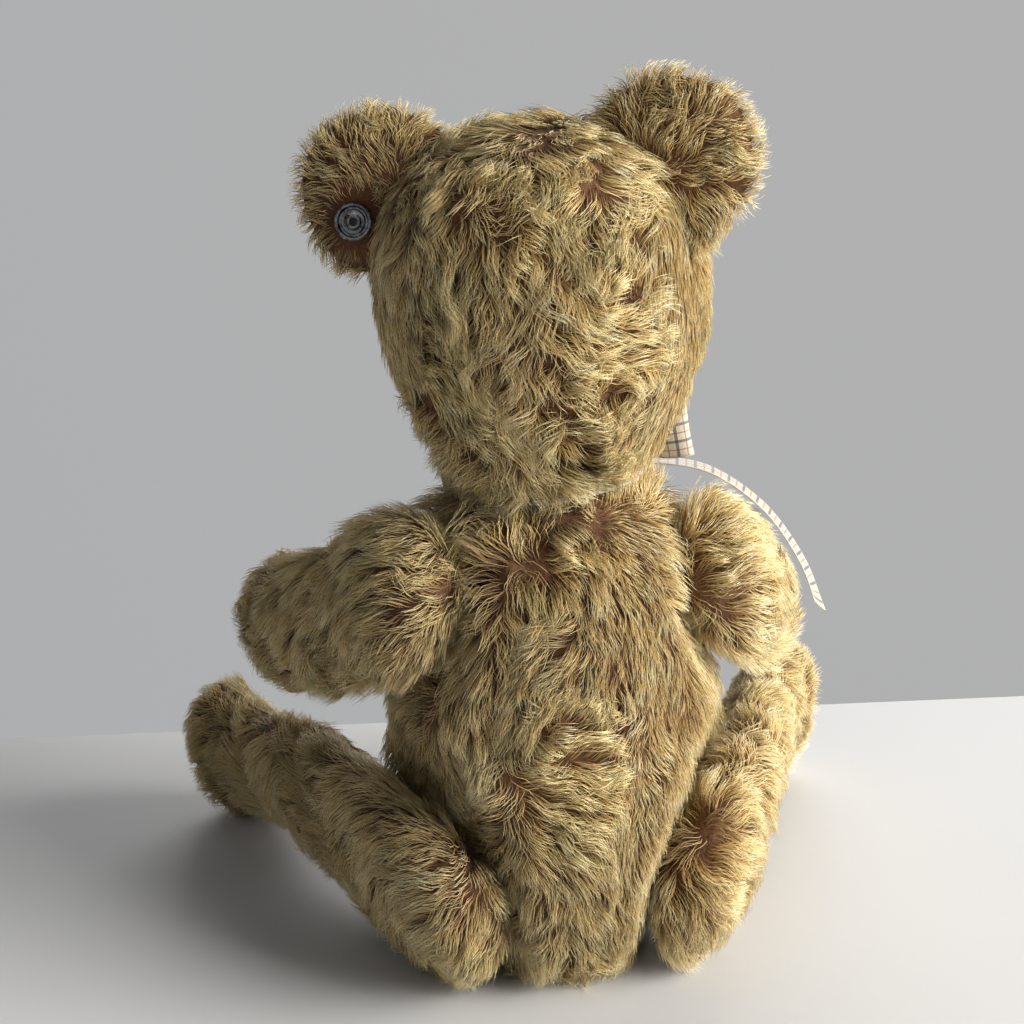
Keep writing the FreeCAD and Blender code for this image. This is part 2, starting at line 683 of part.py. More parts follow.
def strip(path_points, height, low):
    """A ribbon standing on edge: a smooth line in plan, given the ribbon's thickness and raised."""
    curve = Part.BSplineCurve()
    curve.interpolate(path_points)
    sides = []
    for offset in (thick / 2, -thick / 2):
        side_points = []
        for number in range(33):
            at = curve.FirstParameter + (curve.LastParameter - curve.FirstParameter) * number / 32
            tangent = curve.tangent(at)[0]
            side_points.append(curve.value(at) + V(-tangent.y, tangent.x, 0) * offset)
        edge = Part.BSplineCurve()
        edge.interpolate(side_points)
        sides.append(edge)
    ends = [Part.makeLine(sides[0].StartPoint, sides[1].StartPoint),
            Part.makeLine(sides[0].EndPoint, sides[1].EndPoint)]
    outline = Part.Wire(Part.__sortEdges__([sides[0].toShape(), ends[1], sides[1].toShape(), ends[0]]))
    made = Part.Face(outline).extrude(V(0, 0, height))
    made.translate(V(0, 0, low))
    return made


bow_reach, bow_depth, bow_height = dim("bow_reach"), dim("bow_depth"), dim("bow_height")
LOOP_PATH = [(0.0, -0.10), (0.50, -0.45), (0.91, -0.22), (1.00, 0.02), (0.91, 0.30), (0.50, 0.18),
             (0.0, 0.10)]
loops = []
for side in (1, -1):
    start = KNOT.x / 2 + 0.2
    route = [V(side * (start + (bow_reach - start) * out), bow_depth * back, 0) for out, back in LOOP_PATH]
    loops.append(strip(route, bow_height, -bow_height / 2))
feature(Part.makeCompound(loops), "ribbon_bow", BOW)


def tail(route, width_dir):
    """A hanging end: two smooth edges, joined and given the ribbon's thickness."""
    half = dim("ribbon_width") / 2
    edges = []
    for sign in (-1, 1):
        curve = Part.BSplineCurve()
        ways = [V(x).normalize() for x in width_dir]
        curve.interpolate([p + way * (half * sign) for p, way in zip(route, ways)])
        edges.append(curve.toShape())
    face = Part.makeRuledSurface(*edges)
    return face.makeOffsetShape(thick, 0.01, fill=True)


right_route = [V(-9, -30.5, 126), V(-20, -31, 124.5), V(-32, -28, 126.5), V(-47, -24, 124.5),
               V(-61, -21, 114.5), V(-71.5, -20, 99), V(-78, -20, 84)]
right_width = [(0.1, -0.3, 1), (0.2, -0.6, 0.8), (0.2, -0.9, 0.35), (0.2, -1, 0.15), (0.1, -1, 0.1),
               (0.1, -1, 0), (0.1, -1, 0)]
left_route = [V(-3, -31.5, 125), V(4, -36, 118), V(12, -41, 104), V(18, -45.5, 86), V(21, -47.5, 66)]
left_width = [(0.6, 0, 0.6), (1, -0.1, 0.3), (1, -0.2, 0), (1, -0.3, 0), (1, -0.3, 0)]
feature(tail(right_route, right_width), "ribbon_tail_right")
feature(tail(left_route, left_width), "ribbon_tail_left")

doc.recompute()

# ---------------------------------------------------------------- check and write

os.makedirs("parts", exist_ok=True)
problems = [f"{thing.Label}: {thing.State}" for thing in doc.Objects
            if {"Invalid", "Error"} & set(thing.State)]
for piece in kept:
    shape = piece.Shape
    if shape.isNull() or not shape.isValid() or not shape.Solids:
        problems.append(f"{piece.Label}: its shape is empty or not valid")
if problems:
    raise SystemExit("\n".join(problems))
for old in os.listdir("parts"):
    os.remove(os.path.join("parts", old))
for piece in kept:
    piece.Shape.exportStep(f"parts/{piece.Label}.step")
    print(f"{piece.Label:26s} {len(piece.Shape.Solids):2d} solids {piece.Shape.Volume / 1000:8.2f} cm3")
print(len(kept), "sub-parts")
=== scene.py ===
"""The looks of a jointed mohair teddy bear that sits with its back to the camera.
Lengths are in metres, in the CAD part's frame.

Each plush piece is a woven backing skin, taken from the CAD covers, with a pile of wavy tapered locks on it.
The ribbon, felt pads, stitching and face lie on the skins. The joint hardware inside is the CAD part's own.
"""
import json
import math

import bmesh
import bpy
import numpy as np
from mathutils import Matrix, Vector, bvhtree, kdtree


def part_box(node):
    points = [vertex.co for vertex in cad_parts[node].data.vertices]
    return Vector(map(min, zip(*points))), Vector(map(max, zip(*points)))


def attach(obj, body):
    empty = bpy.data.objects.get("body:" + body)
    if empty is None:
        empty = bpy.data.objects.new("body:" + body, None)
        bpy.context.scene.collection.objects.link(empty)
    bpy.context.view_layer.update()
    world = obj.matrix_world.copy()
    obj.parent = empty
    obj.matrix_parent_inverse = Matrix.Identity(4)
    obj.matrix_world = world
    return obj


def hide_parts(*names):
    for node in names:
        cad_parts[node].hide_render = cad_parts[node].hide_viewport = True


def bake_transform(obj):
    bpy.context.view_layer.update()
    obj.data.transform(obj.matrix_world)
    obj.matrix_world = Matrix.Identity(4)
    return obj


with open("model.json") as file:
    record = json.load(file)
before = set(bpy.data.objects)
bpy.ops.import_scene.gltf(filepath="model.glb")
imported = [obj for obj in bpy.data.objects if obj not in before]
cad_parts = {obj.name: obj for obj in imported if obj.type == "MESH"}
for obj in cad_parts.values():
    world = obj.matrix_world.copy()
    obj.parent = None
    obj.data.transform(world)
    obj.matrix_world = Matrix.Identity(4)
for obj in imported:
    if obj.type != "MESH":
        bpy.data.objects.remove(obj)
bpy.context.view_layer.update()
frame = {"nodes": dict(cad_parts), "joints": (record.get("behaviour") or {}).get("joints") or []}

MM = 0.001
UP = np.array([0.0, 0.0, 1.0])

# ---------------------------------------------------------------- frames of the moving parts


def unit(v):
    v = np.asarray(v, float)
    return v / np.maximum(np.linalg.norm(v, axis=-1, keepdims=True), 1e-12)


def points_of(node):
    mesh = frame["nodes"][node].data
    out = np.empty(len(mesh.vertices) * 3)
    mesh.vertices.foreach_get("co", out)
    return out.reshape(-1, 3)


class Local:
    """A right-handed or mirrored frame: an origin and three unit axes as rows."""

    def __init__(self, origin, x, y, z):
        self.origin = np.asarray(origin, float)
        self.axes = np.array([x, y, z], float)

    def to(self, p):
        return (np.asarray(p, float) - self.origin) @ self.axes.T

    def out(self, q):
        return np.asarray(q, float) @ self.axes + self.origin

    def turn(self, d):
        return np.asarray(d, float) @ self.axes


JOINTS = {j["name"]: j for j in frame["joints"]}
HEAD_TURN = math.radians(-20)


def head_frame():
    z = unit(JOINTS["neck"]["axis"])
    x0 = unit(np.array([z[2], 0, -z[0]]))
    y0 = np.cross(z, x0)
    x = math.cos(HEAD_TURN) * x0 + math.sin(HEAD_TURN) * y0
    return Local(JOINTS["neck"]["pos_m"], x, np.cross(z, x), z)


def limb_frame(side, joint, pad):
    """Z points out of the body, X along the limb to its pad and Y up."""
    record = JOINTS[f"{side}_{joint}"]
    z = unit(record["axis"]) * (1 if side == "right" else -1)
    reach = points_of(pad).mean(axis=0) - np.array(record["pos_m"])
    x = unit(reach - z * reach.dot(z))
    y = np.cross(z, x) * (1 if side == "right" else -1)
    return Local(record["pos_m"], x, y, z)


HEAD = head_frame()
ARM = {s: limb_frame(s, "shoulder", f"{s}_paw_pad") for s in ("right", "left")}
LEG = {s: limb_frame(s, "hip", f"{s}_foot_pad") for s in ("right", "left")}

# ---------------------------------------------------------------- materials


def shader(name, roughness=0.6, metallic=0.0, **sockets):
    material = bpy.data.materials.new(name)
    material.use_nodes = True
    tree = material.node_tree
    principled = tree.nodes["Principled BSDF"]
    principled.inputs["Roughness"].default_value = roughness
    principled.inputs["Metallic"].default_value = metallic
    for socket, value in sockets.items():
        principled.inputs[socket.replace("_", " ")].default_value = value
    return material, tree, principled


def node(tree, kind, inputs=(), **settings):
    made = tree.nodes.new(kind)
    for key, value in settings.items():
        setattr(made, key, value)
    for key, value in dict(inputs).items():
        if isinstance(value, bpy.types.NodeSocket):
            tree.links.new(value, made.inputs[key])
        else:
            made.inputs[key].default_value = value
    return made


def ramp(tree, factor, stops):
    made = tree.nodes.new("ShaderNodeValToRGB")
    tree.links.new(factor, made.inputs["Fac"])
    elements = made.color_ramp.elements
    while len(elements) < len(stops):
        elements.new(0.5)
    for element, (position, colour) in zip(elements, stops):
        element.position = position
        element.color = (*colour, 1)
    return made.outputs["Color"]


def mix(tree, factor, a, b, blend="MIX"):
    made = tree.nodes.new("ShaderNodeMix")
    made.data_type, made.blend_type = "RGBA", blend
    for key, value in ((0, factor), (6, a), (7, b)):
        if isinstance(value, bpy.types.NodeSocket):
            tree.links.new(value, made.inputs[key])
        else:
            made.inputs[key].default_value = (*value, 1) if key else value
    return made.outputs[2]


def bump(tree, principled, height, strength, distance):
    made = node(tree, "ShaderNodeBump", {"Height": height, "Strength": strength, "Distance": distance})
    tree.links.new(made.outputs["Normal"], principled.inputs["Normal"])


def paint(tree, principled, colour):
    tree.links.new(colour, principled.inputs["Base Color"])


def calculate(tree, operation, a, b):
    return node(tree, "ShaderNodeMath", {0: a, 1: b}, operation=operation).outputs[0]


def object_coordinates(tree):
    return tree.nodes.new("ShaderNodeTexCoord").outputs["Object"]


def noise(tree, vector, scale, detail=3.0, roughness=0.5):
    return node(tree, "ShaderNodeTexNoise", {"Vector": vector, "Scale": scale, "Detail": detail,
                                             "Roughness": roughness})


def mohair():
    """Colour from the lock's tone, across the palette, and the place from its root to its tip, up it."""
    material, tree, principled = shader("mohair", 0.52, Sheen_Weight=0.25, Sheen_Roughness=0.45)
    principled.inputs["Specular IOR Level"].default_value = 0.35
    uv = node(tree, "ShaderNodeUVMap", uv_map="OFBake")
    split = node(tree, "ShaderNodeSeparateXYZ", {0: uv.outputs["UV"]})
    tone, along = split.outputs["X"], split.outputs["Y"]
    # each ramp runs from dark roots, painted shade deep in the pile, to pale tips, painted highlight on the
    # lit tips; the olive, golden and pale palettes are the mohair's own tones
    olive = ramp(tree, along, [(0.0, (0.09, 0.045, 0.016)), (0.25, (0.21, 0.135, 0.045)),
                               (0.55, (0.52, 0.41, 0.165)), (0.85, (0.84, 0.72, 0.37)),
                               (1.0, (0.95, 0.86, 0.54))])
    golden = ramp(tree, along, [(0.0, (0.20, 0.075, 0.02)), (0.25, (0.40, 0.21, 0.06)),
                                (0.55, (0.72, 0.49, 0.17)), (0.85, (0.92, 0.72, 0.33)),
                                (1.0, (0.98, 0.84, 0.48))])
    pale = ramp(tree, along, [(0.0, (0.26, 0.15, 0.06)), (0.25, (0.54, 0.40, 0.17)),
                              (0.55, (0.88, 0.77, 0.43)), (0.85, (1.0, 0.94, 0.64)),
                              (1.0, (1.0, 0.97, 0.76))])
    first = node(tree, "ShaderNodeMapRange", {"Value": tone, "From Min": 0.0, "From Max": 0.5})
    second = node(tree, "ShaderNodeMapRange", {"Value": tone, "From Min": 0.5, "From Max": 1.0})
    lower = mix(tree, first.outputs[0], olive, golden)
    paint(tree, principled, mix(tree, second.outputs[0], lower, pale))
    return material


def backing():
    """Rust-brown woven cloth, seen where the pile parts."""
    material, tree, principled = shader("backing", 0.9, Sheen_Weight=0.05)
    where = object_coordinates(tree)
    patches = noise(tree, where, 90.0, 4.0, 0.6)
    colour = ramp(tree, patches.outputs["Fac"], [(0.30, (0.08, 0.031, 0.012)),
                                                 (0.52, (0.15, 0.062, 0.022)),
                                                 (0.75, (0.24, 0.12, 0.045))])
    weave = node(tree, "ShaderNodeTexVoronoi", {"Vector": where, "Scale": 1400.0})
    paint(tree, principled, mix(tree, 0.35, colour, weave.outputs["Distance"], "MULTIPLY"))
    bump(tree, principled, weave.outputs["Distance"], 0.5, 0.0003)
    return material


def felt():
    material, tree, principled = shader("felt", 0.95, Sheen_Weight=0.4)
    where = object_coordinates(tree)
    soft = noise(tree, where, 160.0, 6.0, 0.7)
    fibre = noise(tree, where, 1500.0, 3.0, 0.8)
    colour = ramp(tree, soft.outputs["Fac"], [(0.25, (0.42, 0.31, 0.17)), (0.55, (0.55, 0.42, 0.25)),
                                              (0.80, (0.63, 0.50, 0.32))])
    paint(tree, principled, mix(tree, 0.3, colour, fibre.outputs["Color"], "OVERLAY"))
    bump(tree, principled, fibre.outputs["Fac"], 0.6, 0.0004)
    return material


def thread(name, dark, light):
    """Twisted cotton or waxed thread: fine slanting plies."""
    material, tree, principled = shader(name, 0.6, Sheen_Weight=0.3)
    where = object_coordinates(tree)
    plies = node(tree, "ShaderNodeTexWave", {"Vector": where, "Scale": 900.0, "Distortion": 2.0},
                 bands_direction="DIAGONAL")
    paint(tree, principled, ramp(tree, plies.outputs["Fac"], [(0.2, dark), (0.8, light)]))
    bump(tree, principled, plies.outputs["Fac"], 0.6, 0.0002)
    return material


def card():
    material, tree, principled = shader("card", 0.85)
    where = object_coordinates(tree)
    fibre = noise(tree, where, 900.0, 6.0, 0.7)
    colour = ramp(tree, fibre.outputs["Fac"], [(0.3, (0.14, 0.085, 0.045)), (0.7, (0.27, 0.175, 0.095))])
    paint(tree, principled, colour)
    bump(tree, principled, fibre.outputs["Fac"], 0.3, 0.0003)
    return material


def metal(name, low, high, rough_low, rough_high, scale):
    material, tree, principled = shader(name, 0.4, 1.0)
    where = object_coordinates(tree)
    wear = noise(tree, where, scale, 5.0, 0.65)
    paint(tree, principled, ramp(tree, wear.outputs["Fac"], [(0.35, low), (0.65, high)]))
    rough = node(tree, "ShaderNodeMapRange", {"Value": wear.outputs["Fac"], "From Min": 0.3, "From Max": 0.7,
                                              "To Min": rough_low, "To Max": rough_high})
    tree.links.new(rough.outputs[0], principled.inputs["Roughness"])
    bump(tree, principled, wear.outputs["Fac"], 0.08, 0.0002)
    return material


def eye_glass(name, pupil):
    """Brown glass round a black pupil, darker towards the rim."""
    material, tree, principled = shader(name, 0.04, Coat_Weight=1.0, Coat_Roughness=0.02)
    where = object_coordinates(tree)
    gap = node(tree, "ShaderNodeVectorMath", {0: where, 1: pupil}, operation="DISTANCE")
    flecks = noise(tree, where, 1200.0, 3.0)
    iris = mix(tree, flecks.outputs["Fac"], (0.10, 0.035, 0.010), (0.20, 0.075, 0.020))
    out = calculate(tree, "MULTIPLY", gap.outputs["Value"], 180.0)
    rings = ramp(tree, out, [(0.0, (0, 0, 0)), (0.40, (0, 0, 0)), (0.44, (1, 1, 1)),
                             (0.80, (0.35, 0.35, 0.35))])
    paint(tree, principled, mix(tree, 1.0, iris, rings, "MULTIPLY"))
    return material


def lines(tree, value, period, centres, half):
    """1 on thin lines that repeat along a value, 0 between them. All lengths in millimetres."""
    total = None
    for centre in centres:
        near = calculate(tree, "PINGPONG", calculate(tree, "SUBTRACT", value, centre), period)
        edge = node(tree, "ShaderNodeMapRange", {"Value": near, "From Min": half - 0.06,
                                                 "From Max": half + 0.06, "To Min": 1.0, "To Max": 0.0})
        line = edge.outputs[0]
        total = line if total is None else calculate(tree, "MAXIMUM", total, line)
    return total


def plaid():
    """A plain two-colour windowpane check, woven in cream cotton."""
    material, tree, principled = shader("plaid", 0.62, Sheen_Weight=0.3)
    uv = node(tree, "ShaderNodeUVMap", uv_map="cloth")
    split = node(tree, "ShaderNodeSeparateXYZ", {0: uv.outputs["UV"]})
    across, along = (calculate(tree, "MULTIPLY", split.outputs[axis], 100.0) for axis in "XY")
    colour = (0.70, 0.62, 0.49)
    for value in (across, along):
        for centre, half, strength, dye in ((0.0, 0.42, 0.72, (0.028, 0.040, 0.060)),
                                            (2.5, 0.20, 0.65, (0.30, 0.095, 0.040))):
            check = lines(tree, value, 2.5, (centre,), half)
            colour = mix(tree, calculate(tree, "MULTIPLY", check, strength), colour, dye)
    weft, warp = (node(tree, "ShaderNodeTexWave", {"Vector": uv.outputs["UV"], "Scale": 95.0},
                       bands_direction=axis).outputs["Fac"] for axis in "YX")
    weave = calculate(tree, "MULTIPLY", weft, warp)
    selvedge = lines(tree, across, 7.5, (0.0,), 0.35)
    colour = mix(tree, selvedge, colour, (0.74, 0.68, 0.56))
    paint(tree, principled, mix(tree, 0.12, colour, weave, "MULTIPLY"))
    bump(tree, principled, weave, 0.35, 0.0002)
    return material


def floor_paint():
    material, tree, principled = shader("floor_paint", 0.55)
    where = object_coordinates(tree)
    soft = noise(tree, where, 6.0, 2.0)
    colour = ramp(tree, soft.outputs["Fac"], [(0.3, (0.67, 0.67, 0.665)), (0.7, (0.70, 0.70, 0.695))])
    paint(tree, principled, colour)
    return material


MOHAIR, BACKING, FELT, CARD, PLAID = mohair(), backing(), felt(), card(), plaid()
BLACK_THREAD = thread("black_thread", (0.006, 0.005, 0.005), (0.035, 0.032, 0.032))
SEAM_THREAD = thread("seam_thread", (0.020, 0.010, 0.008), (0.075, 0.035, 0.022))
STEEL = metal("steel", (0.42, 0.42, 0.43), (0.62, 0.62, 0.63), 0.25, 0.45, 400.0)
STUD = metal("stud_metal", (0.10, 0.10, 0.105), (0.52, 0.52, 0.53), 0.12, 0.36, 700.0)

# ---------------------------------------------------------------- meshes


def mesh_object(name, verts, faces, body, material, smooth=True):
    """A mesh from arrays: faces is a list of arrays, one for each number of corners."""
    mesh = bpy.data.meshes.new(name)
    sizes = np.concatenate([np.full(len(f), f.shape[1]) for f in faces])
    loops = np.concatenate([f.ravel() for f in faces])
    mesh.vertices.add(len(verts))
    mesh.vertices.foreach_set("co", np.ascontiguousarray(verts, dtype=np.float32).ravel())
    mesh.loops.add(len(loops))
    mesh.loops.foreach_set("vertex_index", loops.astype(np.int32))
    mesh.polygons.add(len(sizes))
    mesh.polygons.foreach_set("loop_start", np.concatenate([[0], np.cumsum(sizes)[:-1]]).astype(np.int32))
    mesh.polygons.foreach_set("use_smooth", np.full(len(sizes), smooth))
    mesh.update(calc_edges=True)
    made = bpy.data.objects.new(name, mesh)
    bpy.context.scene.collection.objects.link(made)
    mesh.materials.append(material)
    if body is not None:
        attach(made, body)
    return made


def add_uv(made, name, values):
    """values is one (u, v) for each loop."""
    layer = made.data.uv_layers.new(name=name)
    layer.data.foreach_set("uv", np.ascontiguousarray(values, dtype=np.float32).ravel())


class Skin:
    """A closed surface as arrays, with what is needed to grow a pile on it and to lay pieces on it."""

    def __init__(self, verts, quads):
        self.verts, self.quads = verts, quads
        self.refresh()

    def refresh(self):
        v, q = self.verts, self.quads
        face = np.cross(v[q[:, 2]] - v[q[:, 0]], v[q[:, 3]] - v[q[:, 1]])
        normals = np.zeros_like(v)
        for corner in range(4):
            np.add.at(normals, q[:, corner], face)
        self.normals = unit(normals)

    def neighbours_mean(self):
        q = self.quads
        edges = np.concatenate([q[:, [0, 1]], q[:, [1, 2]], q[:, [2, 3]], q[:, [3, 0]]])
        total, count = np.zeros_like(self.verts), np.zeros(len(self.verts))
        for a, b in ((0, 1), (1, 0)):
            np.add.at(total, edges[:, a], self.verts[edges[:, b]])
            np.add.at(count, edges[:, a], 1)
        return total / count[:, None]

    def smooth(self, rounds, share=0.5):
        for _ in range(rounds):
            self.verts = self.verts + (self.neighbours_mean() - self.verts) * share
        self.refresh()

    def tree(self):
        return bvhtree.BVHTree.FromPolygons(self.verts.tolist(), self.quads.tolist())


def gathered(nodes):
    """The vertices and faces of some CAD nodes together."""
    verts, faces, start = [], [], 0
    for name in nodes:
        mesh = frame["nodes"][name].data
        verts += [tuple(v.co) for v in mesh.vertices]
        faces += [tuple(i + start for i in p.vertices) for p in mesh.polygons]
        start = len(verts)
    return verts, faces


def skin_from(nodes, voxel, rounds):
    """The outermost surface of some CAD nodes together, as a smooth closed skin."""
    verts, faces = gathered(nodes)
    mesh = bpy.data.meshes.new("gathered")
    mesh.from_pydata(verts, [], faces)
    holder = bpy.data.objects.new("gathered", mesh)
    bpy.context.scene.collection.objects.link(holder)
    remesh = holder.modifiers.new("remesh", "REMESH")
    remesh.mode, remesh.voxel_size = "VOXEL", voxel
    done = bpy.data.meshes.new_from_object(holder.evaluated_get(bpy.context.evaluated_depsgraph_get()))
    v = np.empty(len(done.vertices) * 3)
    done.vertices.foreach_get("co", v)
    v = v.reshape(-1, 3)
    q = np.empty(len(done.loops), np.int32)
    done.loops.foreach_get("vertex_index", q)
    q = q.reshape(-1, 4)
    for data in (done, mesh):
        if data is mesh:
            bpy.data.objects.remove(holder)
        bpy.data.meshes.remove(data)
    label = np.arange(len(v))
    while True:
        low = label[q].min(axis=1)
        before = label.copy()
        for corner in range(4):
            np.minimum.at(label, q[:, corner], low)
        label = label[label]
        if (label == before).all():
            break
    names, sizes = np.unique(label[q[:, 0]], return_counts=True)
    q = q[label[q[:, 0]] == names[sizes.argmax()]]
    used, q = np.unique(q, return_inverse=True)
    skin = Skin(v[used], q.reshape(-1, 4))
    skin.smooth(rounds)
    return skin


def step(x, low, high):
    t = np.clip((np.asarray(x, float) - low) / (high - low), 0, 1)
    return t * t * (3 - 2 * t)


def inset(skin, depths):
    skin.verts = skin.verts - skin.normals * np.asarray(depths)[:, None]
    skin.smooth(2)


def meet(skin, tree, reach, depth):
    """Draws a skin's nearby edge onto another skin and a little way into it."""
    for number, point in enumerate(skin.verts):
        hit, normal, _, gap = tree.find_nearest(Vector(point), reach)
        if hit is not None:
            share = 1 - float(step(gap, 0.75 * reach, reach))
            target = np.array(hit) - np.array(normal) * depth
            skin.verts[number] = point + (target - point) * share
    skin.refresh()


def nearest(points):
    tree = kdtree.KDTree(len(points))
    for number, point in enumerate(points):
        tree.insert(point, number)
    tree.balance()
    return tree


VOXEL = 1.2 * MM
LAID = 2.0 * MM                                  # how far the laid pile stands over the backing

TORSO_PLANES = []                                # (point, outward direction) of the torso's five joint faces
for side in ("right", "left"):
    TORSO_PLANES += [(ARM[side].origin, ARM[side].axes[2]), (LEG[side].origin, LEG[side].axes[2])]
TORSO_PLANES.append((HEAD.origin, HEAD.axes[2]))


def off_planes(p, planes):
    return np.min([(np.asarray(origin) - p) @ np.asarray(out) for origin, out in planes], axis=0)


torso = skin_from(["torso_cover", "torso_stuffing"] + [n for n in frame["nodes"] if n.startswith("torso_")
                                                       and n.endswith(("disc", "washer"))], VOXEL, 14)
inset(torso, 0.3 * MM + (LAID - 0.3 * MM) * step(off_planes(torso.verts, TORSO_PLANES), 1 * MM, 5 * MM))

head = skin_from(["head_cover", "head_stuffing", "head_disc", "head_washer"], VOXEL, 8)
local = HEAD.to(head.verts)
muzzle_depth = step(-local[:, 1], 34 * MM, 46 * MM)
inset(head, 0.3 * MM + (LAID - 0.3 * MM) * step(local[:, 2], 1 * MM, 5 * MM) * (1 - 0.75 * muzzle_depth))

ears = {}
for side in ("right", "left"):
    ears[side] = skin_from([f"{side}_ear"], 0.9 * MM, 5)
    inset(ears[side], np.full(len(ears[side].verts), 0.8 * MM))
    meet(ears[side], head.tree(), 5 * MM, 1.0 * MM)

arms, legs = {}, {}
for side in ("right", "left"):
    for kind, place, skins in (("arm", ARM, arms), ("leg", LEG, legs)):
        pad = f"{side}_paw_pad" if kind == "arm" else f"{side}_foot_pad"
        skin = skin_from([f"{side}_{kind}_cover", f"{side}_{kind}_stuffing", pad, f"{side}_{kind}_disc",
                          f"{side}_{kind}_washer"], VOXEL, 8)
        near = nearest(points_of(pad))
        gap = np.array([near.find(p)[2] for p in skin.verts])
        z = place[side].to(skin.verts)[:, 2]
        inset(skin, 0.3 * MM + (LAID - 0.3 * MM) * step(z, 1 * MM, 5 * MM) * step(gap, 2 * MM, 8 * MM))
        skins[side] = skin

# ---------------------------------------------------------------- pile


def swirl(points, scale, seed, terms=14):
    """Smooth vector noise that is about 1 long and varies over the scale."""
    rng = np.random.default_rng(seed)
    waves = unit(rng.normal(size=(terms, 3))) * (2 * math.pi / scale) * rng.uniform(0.55, 1.4, (terms, 1))
    phases = rng.uniform(0, 2 * math.pi, (terms, 3))
    sizes = rng.normal(size=(terms, 3))
    total = np.zeros((len(points), 3))
    for wave, phase, size in zip(waves, phases, sizes):
        total += np.sin((points @ wave)[:, None] + phase) * size
    return total / math.sqrt(terms / 2)


def scatter(skin, count, rng):
    """Points spread evenly over a skin, with their normals."""
    q = skin.quads
    tris = np.concatenate([q[:, [0, 1, 2]], q[:, [0, 2, 3]]])
    a, b, c = (skin.verts[tris[:, i]] for i in range(3))
    area = np.linalg.norm(np.cross(b - a, c - a), axis=1)
    total = np.cumsum(area)
    picked = np.searchsorted(total, (np.arange(count) + rng.uniform(0, 1, count)) / count * total[-1])
    picked = np.minimum(picked, len(tris) - 1)
    r1, r2 = np.sqrt(rng.uniform(0, 1, (count, 1))), rng.uniform(0, 1, (count, 1))
    weights = (1 - r1, r1 * (1 - r2), r1 * r2)
    place = sum(w * skin.verts[tris[picked, i]] for i, w in enumerate(weights))
    normal = unit(sum(w * skin.normals[tris[picked, i]] for i, w in enumerate(weights)))
    return place, normal


def skin_area(skin):
    q = skin.quads
    v = skin.verts
    return 0.5 * np.linalg.norm(np.cross(v[q[:, 2]] - v[q[:, 0]], v[q[:, 3]] - v[q[:, 1]]), axis=1).sum()


LOCK_TAPER = (0.85, 1.0, 0.82, 0.55)             # a lock's radius at each ring, before its tip
RINGS = len(LOCK_TAPER)
PIECE_LOCKS = 9000                               # keeps a piece under 200,000 triangles


def paths(root, normal, flow, length, lift, wave, phase, sag):
    """The line of each lock: it leaves at an angle, lies over towards its flow and waves across it."""
    across = unit(np.cross(normal, flow))
    at = root - normal * (0.5 * MM)
    points = [at]
    for ring in range(RINGS):
        share = (ring + 0.5) / RINGS
        rise = lift * (1.15 - 0.85 * share)
        way = normal * rise[:, None] + flow * (1 - 0.45 * rise)[:, None]
        way = way + across * (wave * np.cos(2 * math.pi * (0.9 * share + phase)))[:, None]
        way = way - UP * (sag * share)[:, None]
        at = at + unit(way) * (length / RINGS)[:, None]
        points.append(at)
    return np.stack(points, axis=1)


